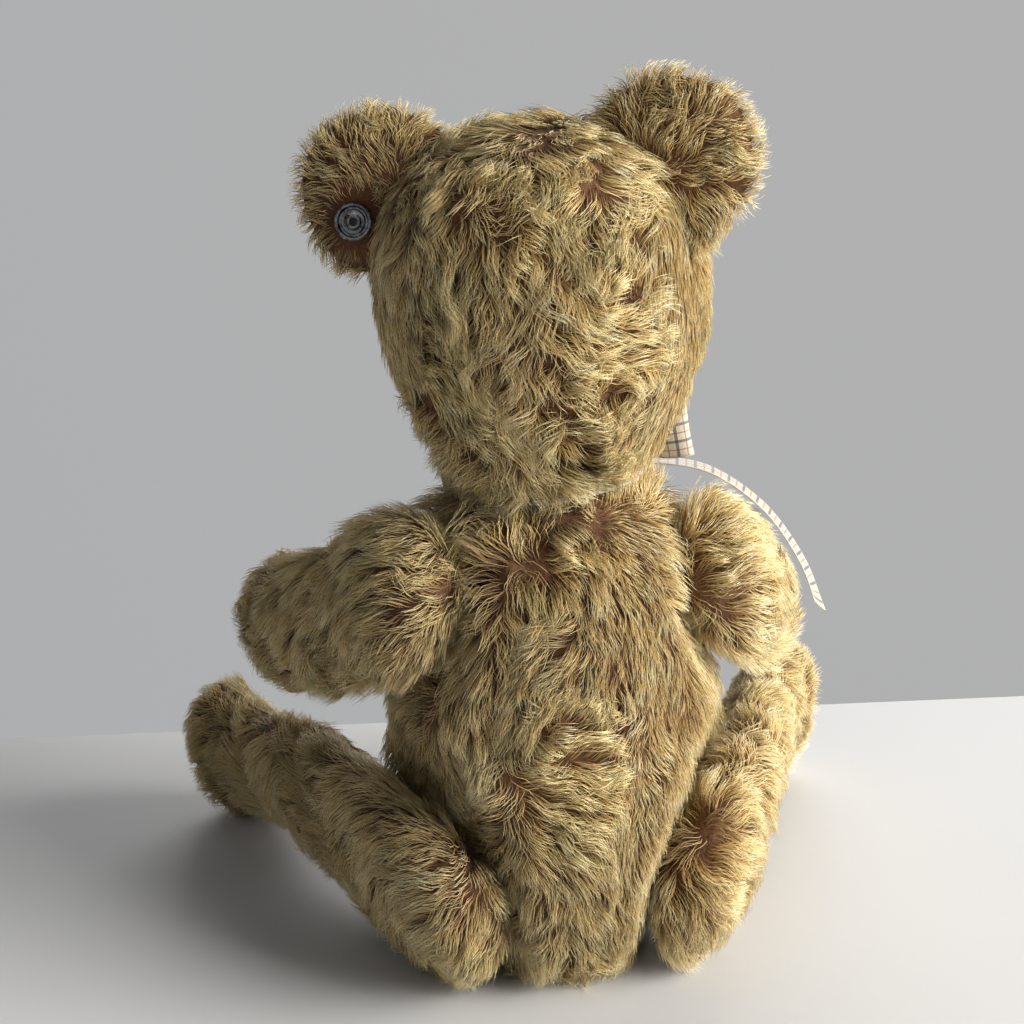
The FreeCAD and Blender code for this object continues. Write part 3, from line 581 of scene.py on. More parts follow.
def grow(name, body, skin, rule, density, seed, blockers=(), clump=3.4 * MM):
    """Covers a skin with locks. rule gives the flow, length and so on at some points."""
    rng = np.random.default_rng(seed)
    area = skin_area(skin) / MM ** 2
    share = 1.0
    root, normal = scatter(skin, int(area * density * share), rng)
    centre, centre_normal = scatter(skin, int(area / (clump / MM) ** 2), rng)
    near = nearest(centre)
    own = np.array([near.find(p)[1] for p in root])

    guide = rule(centre, centre_normal)
    lock = rule(root, normal)
    count = len(centre)
    spread = rng.normal(size=(count, 3)) * guide["loose"][:, None]
    guide_flow = unit(guide["flow"] + spread)
    guide_flow = unit(guide_flow - centre_normal * np.sum(guide_flow * centre_normal, axis=1)[:, None])
    guide_lift = np.clip(guide["lift"] * rng.uniform(0.7, 1.35, count), 0.12, 1.1)
    guide_length = guide["length"] * rng.uniform(0.8, 1.2, count)
    guide_wave = guide["wave"] * rng.uniform(0.4, 1.3, count)
    phase = rng.uniform(0, 1, count)
    guide_path = paths(centre, centre_normal, guide_flow, guide_length, guide_lift, guide_wave, phase,
                       guide["sag"])

    size = len(root)
    flow = guide_flow[own] * 0.45 + unit(lock["flow"]) * 0.55 + rng.normal(size=(size, 3)) * 0.13
    flow = unit(flow - normal * np.sum(flow * normal, axis=1)[:, None])
    length = lock["length"] * rng.uniform(0.70, 1.12, size)
    lift = np.clip(guide_lift[own] * rng.uniform(0.75, 1.3, size), 0.1, 1.2)
    line = paths(root, normal, flow, length, lift, guide_wave[own], phase[own] + rng.normal(size=size) * 0.05,
                 lock["sag"])
    pull = (np.linspace(0, 1, RINGS + 1) ** 1.3)[None, :, None] * lock["gather"][:, None, None]
    pull = pull * rng.uniform(0.5, 1.15, size)[:, None, None]
    line = line + (guide_path[own] - line) * np.clip(pull, 0, 0.9)

    room = np.full(size, 1.0)
    for tree in blockers:
        gap = np.array([tree.find_nearest(Vector(p), 12 * MM)[3] or 12 * MM for p in root])
        room = np.minimum(room, gap / (4 * MM))
    keep = (rng.uniform(0, 1, size) < lock["dense"]) & (room > 0.12)
    shorter = np.clip(0.35 + 0.65 * room, 0, 1)[:, None, None]
    line = line[:, :1] + (line - line[:, :1]) * shorter
    line[..., 2] = np.maximum(line[..., 2], (0.4 + 0.8 * rng.uniform(0, 1, size)[:, None]) * MM)
    line, lock_tone, own = line[keep], lock["tone"][keep], own[keep]
    tone = lock_tone + 0.20 * rng.normal(size=count)[own] + 0.15 * rng.normal(size=len(own))
    tone = np.clip(tone, 0.01, 0.99)
    width = 0.112 * MM * rng.uniform(0.75, 1.3, len(own)) * 1.0
    width = width * np.clip(lock["length"][keep] / (7 * MM), 0.55, 1.1)
    order = np.argsort((line[:, 0] @ np.array([0.3, 1.0, 0.2])))
    pieces = max(1, math.ceil(len(order) / PIECE_LOCKS))
    for number, part in enumerate(np.array_split(order, pieces)):
        lay_locks(f"{name}_{number + 1}", body, line[part], width[part], tone[part])


def lay_locks(name, body, line, width, tone):
    """Three-sided locks that taper to a point, as one mesh."""
    count = len(line)
    ahead = unit(np.gradient(line, axis=1))
    side = unit(np.cross(ahead, np.array([0.31, 0.52, 0.79])))
    other = np.cross(ahead, side)
    share = np.linspace(0, 1, RINGS + 1)[:RINGS]
    radius = width[:, None] * np.array(LOCK_TAPER)[None]
    verts = np.empty((count, RINGS * 3 + 1, 3))
    for corner in range(3):
        angle = 2 * math.pi * corner / 3
        offset = side[:, :RINGS] * math.cos(angle) + other[:, :RINGS] * math.sin(angle)
        verts[:, corner:RINGS * 3:3] = line[:, :RINGS] + offset * radius[..., None]
    verts[:, -1] = line[:, -1]
    quads, tris = [], [[2, 1, 0]]
    for ring in range(RINGS - 1):
        for corner in range(3):
            a, b = ring * 3 + corner, ring * 3 + (corner + 1) % 3
            quads.append([a, b, b + 3, a + 3])
    for corner in range(3):
        last = (RINGS - 1) * 3
        tris.append([last + corner, last + (corner + 1) % 3, RINGS * 3])
    start = (np.arange(count) * (RINGS * 3 + 1))[:, None, None]
    all_quads = (np.array(quads)[None] + start).reshape(-1, 4)
    all_tris = (np.array(tris)[None] + start).reshape(-1, 3)
    made = mesh_object(name, verts.reshape(-1, 3), [all_quads, all_tris], body, MOHAIR)
    height = np.append(np.repeat(share, 3), 1.0)
    values = []
    for pattern in (np.array(quads), np.array(tris)):
        v = np.broadcast_to(height[pattern][None], (count, *pattern.shape))
        u = np.broadcast_to(tone[:, None, None], v.shape)
        values.append(np.stack([u, v * 0.98 + 0.01], axis=-1).reshape(-1, 2))
    add_uv(made, "OFBake", np.concatenate(values))
    return made


def along_surface(way, normal):
    return unit(way - normal * np.sum(way * normal, axis=-1)[..., None])


class Whorl:
    """A short line from which the pile parts to both sides and shows its rust-brown backing."""

    def __init__(self, centre, radius, strength=1.0, half=(0, 0, 0)):
        self.centre, self.radius, self.strength = np.array(centre) * MM, radius * MM, strength
        self.half = np.array(half) * MM

    def off(self, p):
        along = (p - self.centre) @ self.half / max(self.half @ self.half, 1e-12)
        return p - self.centre - np.clip(along, -1, 1)[:, None] * self.half

    def share(self, p):
        return self.strength * np.exp(-np.sum(self.off(p) ** 2, axis=1) / (2 * self.radius ** 2))


def pile(p, n, flow, length, lift=0.36, wave=0.55, loose=0.12, gather=0.40, sag=0.12, dense=1.0, tone=0.35,
         whorls=()):
    """Fills in a rule's answer, with patches of longer, shorter and lighter pile and its whorls."""
    size = len(p)
    answer = {"flow": np.array(flow, float), "length": np.ones(size) * length, "lift": np.ones(size) * lift,
              "wave": np.ones(size) * wave, "loose": np.ones(size) * loose, "gather": np.ones(size) * gather,
              "sag": np.ones(size) * sag, "dense": np.ones(size) * dense, "tone": np.ones(size) * tone}
    for whorl in whorls:
        share = whorl.share(p)
        outward = along_surface(whorl.off(p) + 1e-9, n)
        answer["flow"] = answer["flow"] * (1 - 0.4 * share)[:, None] + outward * (0.7 * share)[:, None]
        answer["length"] = answer["length"] * (1 - 0.15 * share)
        answer["dense"] = answer["dense"] * (1 - 0.35 * share)
        answer["lift"] = answer["lift"] + 0.25 * share
        answer["tone"] = answer["tone"] + 0.12 * share
    answer["flow"] = along_surface(answer["flow"], n)
    answer["length"] = answer["length"] * (1 + 0.14 * swirl(p, 16 * MM, 5)[:, 0])
    answer["tone"] = answer["tone"] + 0.10 * swirl(p, 22 * MM, 7)[:, 0] + 0.05 * swirl(p, 7 * MM, 8)[:, 0]
    return answer


BACK_WHORLS = [Whorl((-6.6, 55, 123.8), 2.0, 0.9, (0.3, 5, -5)), Whorl((6.4, 67.4, 101.2), 2.6, 0.7),
               Whorl((8.5, 71, 76), 2.2, 0.6, (1, 0, 6)), Whorl((31, 50, 84), 2.4, 0.6, (0, 0, 4)),
               Whorl((-2, 72, 50), 2.0, 0.4, (2, 0, 3))]
HEAD_WHORLS = [Whorl((14, 61, 168.5), 2.2, 0.8, (7, -1, 1.5)),
               Whorl((-14.5, 61, 176), 2.0, 0.85, (0.6, 0, 5)),
               Whorl((22.5, 58, 182), 2.0, 0.5, (2, 0, 3)), Whorl((5, 60.5, 154), 2.0, 0.4, (3, 0, 1))]
# the left value is the limbs' plain tone; the right limbs' extra paleness is painted light, standing for the
# window light on that side
LIMB_TONE_AND_PAINTED_LIGHT = {"right": 0.50, "left": 0.32}
LIMB_WHORLS = {"right_arm": [Whorl((-34.4, 56, 107), 2.8, 0.8, (0, -1, 3))],
               "left_arm": [Whorl((39, 57, 105), 2.8, 0.9, (1.5, -3, 5))],
               "right_leg": [Whorl((-33.8, 67.5, 37), 2.6, 0.6, (0, 0, 3))],
               "left_leg": [Whorl((29, 65, 36), 2.4, 0.6, (1, -1, 3))]}


def torso_rule(p, n):
    x = p[:, 0]
    golden = step(-x, 0 * MM, 6 * MM) * step(n[:, 1], -0.2, 0.4)
    collar = step(p[:, 2], 122 * MM, 129 * MM)
    flow = np.array([0.0, 0.0, -1.0]) + swirl(p, 36 * MM, 11) * (0.95 - 0.6 * golden)[:, None]
    flow = flow + swirl(p, 15 * MM, 12) * 0.30
    flow = flow * (1 - collar)[:, None] + UP * (1.4 * collar)[:, None]
    shoulder = step(np.abs(x), 13 * MM, 22 * MM) * step(p[:, 2], 102 * MM, 114 * MM)
    return pile(p, n, flow, ((11.0 - 3.5 * golden) * (1 - 0.15 * collar) + 5.0 * shoulder) * MM,
                wave=0.50 - 0.15 * golden, gather=0.45 - 0.25 * golden,
                lift=0.36 + 0.16 * golden + 0.75 * np.maximum(collar, 0.8 * shoulder),
                tone=0.27 + 0.32 * golden, whorls=BACK_WHORLS)


def head_rule(p, n):
    q, m = HEAD.to(p), n @ HEAD.axes.T
    muzzle = step(-q[:, 1], 36 * MM, 50 * MM)
    panel = step(np.abs(q[:, 0]), 27 * MM, 32 * MM) * (1 - muzzle)
    down = HEAD.turn(np.array([0.0, 0.5, -1.0]))
    backwards = HEAD.turn(np.array([0.0, 1.0, 0.25]))
    flow = down * (1 - muzzle)[:, None] + backwards * (1.6 * muzzle)[:, None]
    loose = (0.95 * (1 - panel) + 0.18 * panel) * (1 - muzzle)
    flow = flow + swirl(p, 30 * MM, 21) * loose[:, None] + swirl(p, 12 * MM, 22) * (0.35 * loose)[:, None]
    hem = (1 - step(q[:, 2], 6 * MM, 16 * MM)) * (1 - 0.85 * step(-q[:, 0], 14 * MM, 22 * MM))
    length = ((11.0 - 3.5 * panel) * (1 - hem) + 13.0 * hem) * (1 - muzzle) + 4.6 * muzzle
    face = step(-m[:, 1], 0.2, 0.8) * (1 - muzzle)
    length = length * (1 - 0.25 * face)
    near_eye = np.zeros(len(p))
    for side in ("right", "left"):
        gap = np.linalg.norm(p - EYE_AT[side], axis=1)
        near_eye = np.maximum(near_eye, 1 - step(gap, 5 * MM, 11 * MM))
    dense = 1 - step(near_eye, 0.75, 0.98)
    gap = np.linalg.norm((p - NOSE_AT) / (NOSE_HALF + 0.6 * MM), axis=1)
    dense = dense * step(gap, 0.9, 1.1)
    length = length * (1 - 0.72 * near_eye)
    return pile(p, n, flow, length * MM, lift=0.38 - 0.04 * panel - 0.06 * muzzle + 0.75 * hem,
                wave=0.6 * (1 - panel) + 0.12, loose=0.12 * (1 - panel) + 0.05,
                gather=0.45 * (1 - 0.45 * panel) * (1 - 0.5 * muzzle),
                dense=dense, tone=0.31 + 0.22 * panel * (q[:, 0] < 0) + 0.14 * muzzle, whorls=HEAD_WHORLS)


# tone is the limb's own pile tone, raised on the right limbs as painted light from the window
def limb_rule(place, pad_tree, whorls, tone):
    def rule(p, n):
        q = place.to(p)
        m = n @ place.axes.T
        flow = place.turn(np.array([1.0, -0.35, 0.15])) + swirl(p, 26 * MM, 31) * 0.65
        end = 1 - step(q[:, 0], -6 * MM, 22 * MM)
        flow = flow + (place.turn(np.array([0.0, 0.0, 1.1])) - UP * 0.7) * end[:, None]
        flow = flow + swirl(p, 10 * MM, 32) * 0.28
        face = step(-m[:, 2], 0.5, 0.85) * (1 - step(q[:, 2], 1.2 * MM, 3 * MM))
        face = face * (1 - 0.5 * step(np.hypot(q[:, 0], q[:, 1]), 13 * MM, 18 * MM))
        gap = np.array([pad_tree.find_nearest(Vector(a))[3] for a in p])
        by_pad = 1 - step(gap, 0.9 * MM, 6 * MM)
        length = 10.5 * (1 - 0.25 * by_pad) * (0.6 + 0.4 * step(q[:, 2], 1 * MM, 7 * MM))
        dense = (1 - face) * step(gap, 0.5 * MM, 1.1 * MM)
        return pile(p, n, flow, length * MM, wave=0.5, dense=dense, tone=tone, whorls=whorls,
                    lift=0.38 * (1 - 0.2 * by_pad))
    return rule


def ear_rule(side, base, thin, stud):
    def rule(p, n):
        out = p - base
        flow = unit(out) * 1.0 + swirl(p, 14 * MM, 41) * 0.45 - UP * 0.15
        front = step(n @ thin, 0.3, 0.7)
        far = step(np.linalg.norm(out, axis=1), 9 * MM, 22 * MM)
        length = (6.4 + 0.6 * far) * (1 - 0.4 * front)
        dense = np.ones(len(p))
        if stud is not None:
            gap = np.linalg.norm(p - stud, axis=1)
            dense = dense * step(gap, 5.0 * MM, 6.2 * MM)
            away = 1 - step(gap, 6 * MM, 11 * MM)
            flow = flow * (1 - away)[:, None] + unit(p - stud) * away[:, None]
            length = length * (1 - 0.35 * away)
        return pile(p, n, flow, length * MM, lift=0.38 + 0.14 * far, wave=0.45, loose=0.16, gather=0.35,
                    dense=dense, tone=0.36 + (0.14 if side == "right" else 0.0))
    return rule


def centre_of(name):
    low, high = (np.array(c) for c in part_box(name))
    return (low + high) / 2


def tree_of(name):
    return bvhtree.BVHTree.FromPolygons(*gathered([name]))


EYE_AT = {side: centre_of(f"{side}_eye") for side in ("right", "left")}
NOSE_AT = centre_of("nose_stitching")
nose_local = (points_of("nose_stitching") - NOSE_AT)
NOSE_HALF = np.abs(nose_local).max(axis=0)

TREES = {"torso": torso.tree(), "head": head.tree()}
for side in ("right", "left"):
    TREES[f"{side}_arm"], TREES[f"{side}_leg"] = arms[side].tree(), legs[side].tree()


def others(body):
    return [tree for name, tree in TREES.items() if name != body]


DENSITY = 1.66
grow("torso_mohair", "torso", torso, torso_rule, DENSITY, 101, others("torso"))
grow("head_mohair", "head", head, head_rule, DENSITY * 1.1, 102, [TREES["torso"]])
for number, side in enumerate(("right", "left")):
    for kind, place, skins, pad, seed in (("arm", ARM, arms, "paw", 110), ("leg", LEG, legs, "foot", 120)):
        limb = f"{side}_{kind}"
        rule = limb_rule(place[side], tree_of(f"{side}_{pad}_pad"), LIMB_WHORLS[limb], LIMB_TONE_AND_PAINTED_LIGHT[side])
        grow(f"{limb}_mohair", limb, skins[side], rule, DENSITY, seed + number, [TREES["torso"]])
    ear = ears[side]
    root = HEAD.out(np.array([(1 if side == "left" else -1) * 33.0, 1.0, 71.0]) * MM)
    stud = centre_of("ear_stud_socket") if side == "left" else None
    thin = -HEAD.axes[1]
    grow(f"{side}_ear_mohair", "head", ear, ear_rule(side, root, thin, stud), DENSITY * 1.2,
         130 + number, [], clump=2.6 * MM)

# ---------------------------------------------------------------- the skins as pieces


def show_skin(name, skin, body, nodes):
    made = mesh_object(name, skin.verts, [skin.quads], body, BACKING)
    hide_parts(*nodes)
    return made


show_skin("torso_skin", torso, "torso", ["torso_cover", "torso_stuffing"])
show_skin("head_skin", head, "head", ["head_cover", "head_stuffing"])
for side in ("right", "left"):
    show_skin(f"{side}_ear_skin", ears[side], "head", [f"{side}_ear"])
    for kind, skins in (("arm", arms), ("leg", legs)):
        show_skin(f"{side}_{kind}_skin", skins[side], f"{side}_{kind}",
                  [f"{side}_{kind}_cover", f"{side}_{kind}_stuffing"])

# ---------------------------------------------------------------- pads, stitches and face


def tube(line, radius, sides=8, plies=0.0):
    """A round thread along some points, closed at its ends, as verts and faces."""
    line = np.asarray(line, float)
    ahead = unit(np.gradient(line, axis=0))
    side = unit(np.cross(ahead, np.array([0.23, 0.41, 0.88])))
    other = np.cross(ahead, side)
    angles = np.linspace(0, 2 * math.pi, sides, endpoint=False)
    reach = np.full(len(line), radius)
    reach[0] = reach[-1] = radius * 0.5
    rings = []
    for number in range(len(line)):
        swell = reach[number] * (1 + plies * np.cos(3 * angles + number * 1.1))
        rings.append(line[number] + side[number] * (np.cos(angles) * swell)[:, None]
                     + other[number] * (np.sin(angles) * swell)[:, None])
    tips = (line[:1] - ahead[:1] * radius * 0.4, line[-1:] + ahead[-1:] * radius * 0.4)
    verts = np.concatenate([*rings, *tips])
    quads, tris = [], []
    for ring in range(len(line) - 1):
        for corner in range(sides):
            a, b = ring * sides + corner, ring * sides + (corner + 1) % sides
            quads.append([a, b, b + sides, a + sides])
    last, first_tip, last_tip = (len(line) - 1) * sides, len(line) * sides, len(line) * sides + 1
    for corner in range(sides):
        following = (corner + 1) % sides
        tris.append([following, corner, first_tip])
        tris.append([last + corner, last + following, last_tip])
    return verts, np.array(quads), np.array(tris)


def threads(name, lines_, radius, body, material, replaced=()):
    verts, quads, tris, start = [], [], [], 0
    for line in lines_:
        v, q, t = tube(line, radius, plies=0.12)
        verts.append(v)
        quads.append(q + start)
        tris.append(t + start)
        start += len(v)
    made = mesh_object(name, np.concatenate(verts), [np.concatenate(quads), np.concatenate(tris)], body,
                       material)
    if replaced:
        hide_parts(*replaced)
    return made


def drop_on(tree, start, way, lift=0.0):
    """Where a ray lands on a tree, raised along the surface's normal."""
    hit, normal, _, _ = tree.ray_cast(Vector(start), Vector(unit(way)))
    if hit is None:
        return None
    normal = np.array(normal)
    if normal @ np.asarray(way) > 0:
        normal = -normal
    return np.array(hit) + normal * lift


def pad_piece(name, body, place, tree, cad, way, rings=14, spokes=48):
    """A crowned felt oval that follows its CAD pad's outer face, seen along way."""
    points = points_of(cad)
    middle = points.mean(axis=0)
    way = unit(way)
    u = unit(np.cross(way, place.axes[0] if abs(way @ place.axes[0]) < 0.8 else place.axes[1]))
    w = np.cross(way, u)
    flat = np.stack([(points - middle) @ u, (points - middle) @ w], axis=1)
    half = np.abs(flat).max(axis=0)
    rows = []
    for ring in range(1, rings + 1):
        share = ring / rings
        row = []
        for spoke in range(spokes):
            angle = 2 * math.pi * spoke / spokes
            at = middle + u * (half[0] * share * math.cos(angle)) + w * (half[1] * share * math.sin(angle))
            hit = drop_on(tree, at - way * 0.05, way)
            crown = 0.9 * MM * (1 - share ** 4) - 0.5 * MM * step(share, 0.9, 1.0)
            row.append((hit if hit is not None else at) - way * crown)
        rows.append(np.array(row))
    rows = np.array(rows)
    for _ in range(4):
        rows[1:-1] = (rows[:-2] + rows[2:] + np.roll(rows[1:-1], 1, 1) + np.roll(rows[1:-1], -1, 1)) / 4
    top = np.concatenate([rows[:1].mean(axis=1), rows.reshape(-1, 3)])
    below = top + way * 1.4 * MM
    count = len(top)
    quads, tris = [], []
    for ring in range(rings - 1):
        for spoke in range(spokes):
            a, b = 1 + ring * spokes + spoke, 1 + ring * spokes + (spoke + 1) % spokes
            quads.append([a, b, b + spokes, a + spokes])
            quads.append([count + a + spokes, count + b + spokes, count + b, count + a])
    for spoke in range(spokes):
        a, b = 1 + spoke, 1 + (spoke + 1) % spokes
        tris.append([0, b, a])
        tris.append([count, count + a, count + b])
        a, b = a + (rings - 1) * spokes, b + (rings - 1) * spokes
        quads.append([a, b, count + b, count + a])
    made = mesh_object(name, np.concatenate([top, below]), [np.array(quads), np.array(tris)], body, FELT)
    mesh = bmesh.new()
    mesh.from_mesh(made.data)
    bmesh.ops.recalc_face_normals(mesh, faces=mesh.faces)
    mesh.to_mesh(made.data)
    mesh.free()
    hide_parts(cad)


for side in ("right", "left"):
    foot, arm = LEG[side], ARM[side]
    pad_piece(f"{side}_foot_felt", f"{side}_leg", foot, tree_of(f"{side}_foot_pad"), f"{side}_foot_pad",
              -foot.axes[0])
    paw_out = points_of(f"{side}_paw_pad").mean(axis=0) - arm.out(np.array([66.0, 0.0, 13.0]) * MM)
    paw_out = unit(paw_out - arm.axes[0] * (paw_out @ arm.axes[0]))
    pad_piece(f"{side}_paw_felt", f"{side}_arm", arm, tree_of(f"{side}_paw_pad"), f"{side}_paw_pad", -paw_out)

for side in ("right", "left"):
    for kind, place, skins, cad in (("leg", LEG, legs, "foot"), ("arm", ARM, arms, "paw")):
        tree = skins[side].tree()
        claw_points = points_of(f"{side}_{cad}_claws")
        q = place[side].to(claw_points)
        lanes = np.linspace(q[:, 2].min() + 0.6 * MM, q[:, 2].max() - 0.6 * MM, 4)
        runs = []
        for lane in lanes:
            line = []
            for x in np.linspace(q[:, 0].min(), q[:, 0].max(), 9):
                start = place[side].out(np.array([x, 60 * MM, lane]))
                hit = drop_on(tree, start, -place[side].axes[1], 0.5 * MM)
                if hit is not None:
                    line.append(hit)
            if len(line) > 2:
                runs.append(line)
        threads(f"{side}_{cad}_claw_thread", runs, 0.6 * MM, f"{side}_{kind}", BLACK_THREAD,
                [f"{side}_{cad}_claws"])

# the back seam: ladder stitches over the closed opening
torso_tree = TREES["torso"]
runs = []
low, high = (np.array(c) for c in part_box("back_seam_stitches"))
for number, level in enumerate(np.linspace(low[2] + 0.5 * MM, high[2] - 0.5 * MM, 8)):
    line = []
    for x in np.linspace(-2.4, 2.4, 7) * MM:
        hit = drop_on(torso_tree, np.array([x, 0.2, level + x * 0.35]), (0, -1, 0), 0.35 * MM)
        line.append(hit)
    runs.append(line)
spine = [drop_on(torso_tree, np.array([0, 0.2, level]), (0, -1, 0), 0.05 * MM)
         for level in np.linspace(low[2] - 4 * MM, high[2] + 4 * MM, 24)]
runs.append(spine)
threads("back_seam_thread", runs, 0.5 * MM, "torso", SEAM_THREAD, ["back_seam_stitches"])

# satin-stitched nose over its padding
nose_tree = tree_of("nose_stitching")
runs = []
local = HEAD.to(points_of("nose_stitching"))
for x in np.linspace(local[:, 0].min() + 0.5 * MM, local[:, 0].max() - 0.5 * MM, 22):
    line = []
    for z in np.linspace(local[:, 2].max(), local[:, 2].min(), 15):
        hit = drop_on(nose_tree, HEAD.out(np.array([x, -0.2, z])), HEAD.axes[1], 0.10 * MM)
        if hit is not None:
            line.append(hit)
    if len(line) > 3:
        runs.append(line)
threads("nose_satin_stitch", runs, 0.42 * MM, "head", BLACK_THREAD)

# ---------------------------------------------------------------- ribbon


def ribbon(name, rows, mm_across, mm_along, body, replaced, thick=0.35 * MM):
    """A thin closed cloth from a grid of points: rows along it, columns across it."""
    rows = np.asarray(rows, float)
    length, width = rows.shape[:2]
    du = np.gradient(rows, axis=0)
    dv = np.gradient(rows, axis=1)
    normal = unit(np.cross(du, dv))
    top, below = rows + normal * thick / 2, rows - normal * thick / 2
    count = length * width
    index = np.arange(count).reshape(length, width)
    upper = np.stack([index[:-1, :-1], index[1:, :-1], index[1:, 1:], index[:-1, 1:]], axis=-1).reshape(-1, 4)
    quads = [upper, upper[:, ::-1] + count]
    rims = [index[0, ::-1], index[:, 0], index[-1, :], index[::-1, -1]]
    for rim in rims:
        quads.append(np.stack([rim[:-1], rim[1:], rim[1:] + count, rim[:-1] + count], axis=-1)[:, ::-1])
    faces = np.concatenate(quads)
    made = mesh_object(name, np.concatenate([top.reshape(-1, 3), below.reshape(-1, 3)]), [faces], body, PLAID)
    u = np.broadcast_to(np.asarray(mm_across)[None, :], (length, width)).ravel()
    v = np.broadcast_to(np.asarray(mm_along)[:, None], (length, width)).ravel()
    cloth = np.stack([u, v], axis=1) / 100.0
    cloth = np.concatenate([cloth, cloth])
    span = max(np.ptp(u) / 100, np.ptp(v) / 100)
    flat = np.stack([(u - u.min()) / 100 / span, (v - v.min()) / 100 / span], axis=1)
    bake = np.concatenate([flat * 0.45 + 0.02, flat * 0.45 + np.array([0.52, 0.02])])
    add_uv(made, "cloth", cloth[faces.ravel()])
    add_uv(made, "OFBake", bake[faces.ravel()])
    if replaced:
        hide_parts(*replaced)
    return made


def smooth_line(points, count):
    """A Catmull-Rom line through the points, evenly spaced."""
    p = np.asarray(points, float)
    p = np.concatenate([2 * p[:1] - p[1:2], p, 2 * p[-1:] - p[-2:-1]])
    fine = []
    for i in range(1, len(p) - 2):
        for t in np.linspace(0, 1, 24, endpoint=False):
            fine.append(0.5 * (2 * p[i] + (p[i + 1] - p[i - 1]) * t
                               + (2 * p[i - 1] - 5 * p[i] + 4 * p[i + 1] - p[i + 2]) * t ** 2
                               + (-p[i - 1] + 3 * p[i] - 3 * p[i + 1] + p[i + 2]) * t ** 3))
    fine.append(p[-2])
    fine = np.array(fine)
    run = np.concatenate([[0], np.cumsum(np.linalg.norm(np.diff(fine, axis=0), axis=1))])
    at = np.linspace(0, run[-1], count)
    return np.stack([np.interp(at, run, fine[:, i]) for i in range(fine.shape[1])], axis=1)


RIBBON_WIDTH = 15.0
TORSO_AT = np.array([0.0, 30.1, 0.0])
RIGHT_ROUTE = [(-9, -30.5, 126), (-20, -31, 124.5), (-32, -28, 126.5), (-47, -24, 124.5), (-61, -21, 114.5),
               (-71.5, -20, 99), (-78, -20, 84)]
RIGHT_WIDTH = [(0.1, -0.3, 1), (-0.20, -0.95, -0.10), (-0.23, -0.94, -0.12), (-0.26, -0.93, -0.12),
               (-0.33, -0.92, -0.15), (-0.40, -0.90, -0.22), (-0.43, -0.89, -0.26)]
LEFT_ROUTE = [(-3, -31.5, 125), (4, -36, 118), (12, -41, 104), (18, -45.5, 86), (21, -47.5, 66)]
LEFT_WIDTH = [(0.6, 0, 0.6), (1, -0.1, 0.3), (1, -0.2, 0), (1, -0.3, 0), (1, -0.3, 0)]


def tail(name, route, widths, replaced, body="torso"):
    """A hanging ribbon end: pinched at the knot, a little rippled, cut aslant."""
    steps, across = 70, 17
    line = smooth_line(np.array(route, float) + TORSO_AT, steps) * MM
    share = np.linspace(0, 1, steps)
    reached = np.append(0, np.cumsum(np.linalg.norm(np.diff(np.array(route, float), axis=0), axis=1)))
    turned = [np.interp(share, reached / reached[-1], axis) for axis in unit(np.array(widths, float)).T]
    way = unit(np.stack(turned, axis=1))
    lane = np.linspace(-1, 1, across)
    half = RIBBON_WIDTH / 2 * MM * (0.45 + 0.55 * step(share, 0.0, 0.22))
    normal = unit(np.cross(np.gradient(line, axis=0), way))
    rows = line[:, None] + way[:, None] * (lane[None, :] * half[:, None])[..., None]
    pleat = 1.0 * MM * (1 - step(share, 0.02, 0.25))[:, None] * np.sin(lane * 7.5)[None]
    curl = 0.4 * MM * np.sin(share * 9.0)[:, None] * (lane ** 2)[None]
    rows = rows + normal[:, None] * (pleat + curl)[..., None]
    cut = (lane * 2.2)[None] * MM * step(share, 0.9, 1.0)[:, None]
    rows = rows + unit(np.gradient(line, axis=0))[:, None] * cut[..., None]
    run = np.linalg.norm(np.diff(line, axis=0), axis=1).sum() / MM
    made = ribbon(name, rows, lane * RIBBON_WIDTH / 2 + RIBBON_WIDTH / 2, share * run, body, replaced)
    return made


neck_axis = HEAD.axes[2]
collar_x = unit(np.array([neck_axis[2], 0, -neck_axis[0]]))
COLLAR = Local(JOINTS["neck"]["pos_m"], collar_x, np.cross(neck_axis, collar_x), neck_axis)
COLLAR_RADIUS = 22.8 * MM
BAND_RADIUS, KNOT_LENGTH = 23.2, 22.0            # millimetres: they give the flat lengths of the two cuts
turns = np.linspace(0, 2 * math.pi, 145)
lane = np.linspace(-1, 1, 15)
wrinkle = swirl(np.stack([np.cos(turns), np.sin(turns), turns * 0], axis=1), 0.9, 55)[:, 0]
rows = []
for angle, fold in zip(turns, wrinkle):
    radius = COLLAR_RADIUS - 2.0 * MM + 0.9 * MM * np.abs(np.sin(lane * 6.3 + fold))
    level = (-1.2 + 1.9 * lane) * MM + 0.25 * MM * fold
    rows.append(COLLAR.out(np.stack([radius * math.cos(angle), radius * math.sin(angle), level], axis=1)))
collar = ribbon("ribbon_neckband", rows, (lane + 1) * RIBBON_WIDTH / 2, turns * BAND_RADIUS, "torso",
                ["ribbon_collar"])

knot_at = centre_of("ribbon_knot")
from_neck = knot_at - COLLAR.origin
knot_out = unit(from_neck - neck_axis * (from_neck @ neck_axis))
ROLL = math.radians(4)
side_way = unit(np.cross(neck_axis, knot_out))          # towards the bear's left
if side_way[0] < 0:
    side_way = -side_way
knot_side = unit(side_way * math.cos(ROLL) - neck_axis * math.sin(ROLL))
knot_up = unit(np.cross(knot_side, -knot_out))
if knot_up[2] < 0:
    knot_up = -knot_up
BOW = Local(knot_at, knot_side, -knot_out, knot_up)

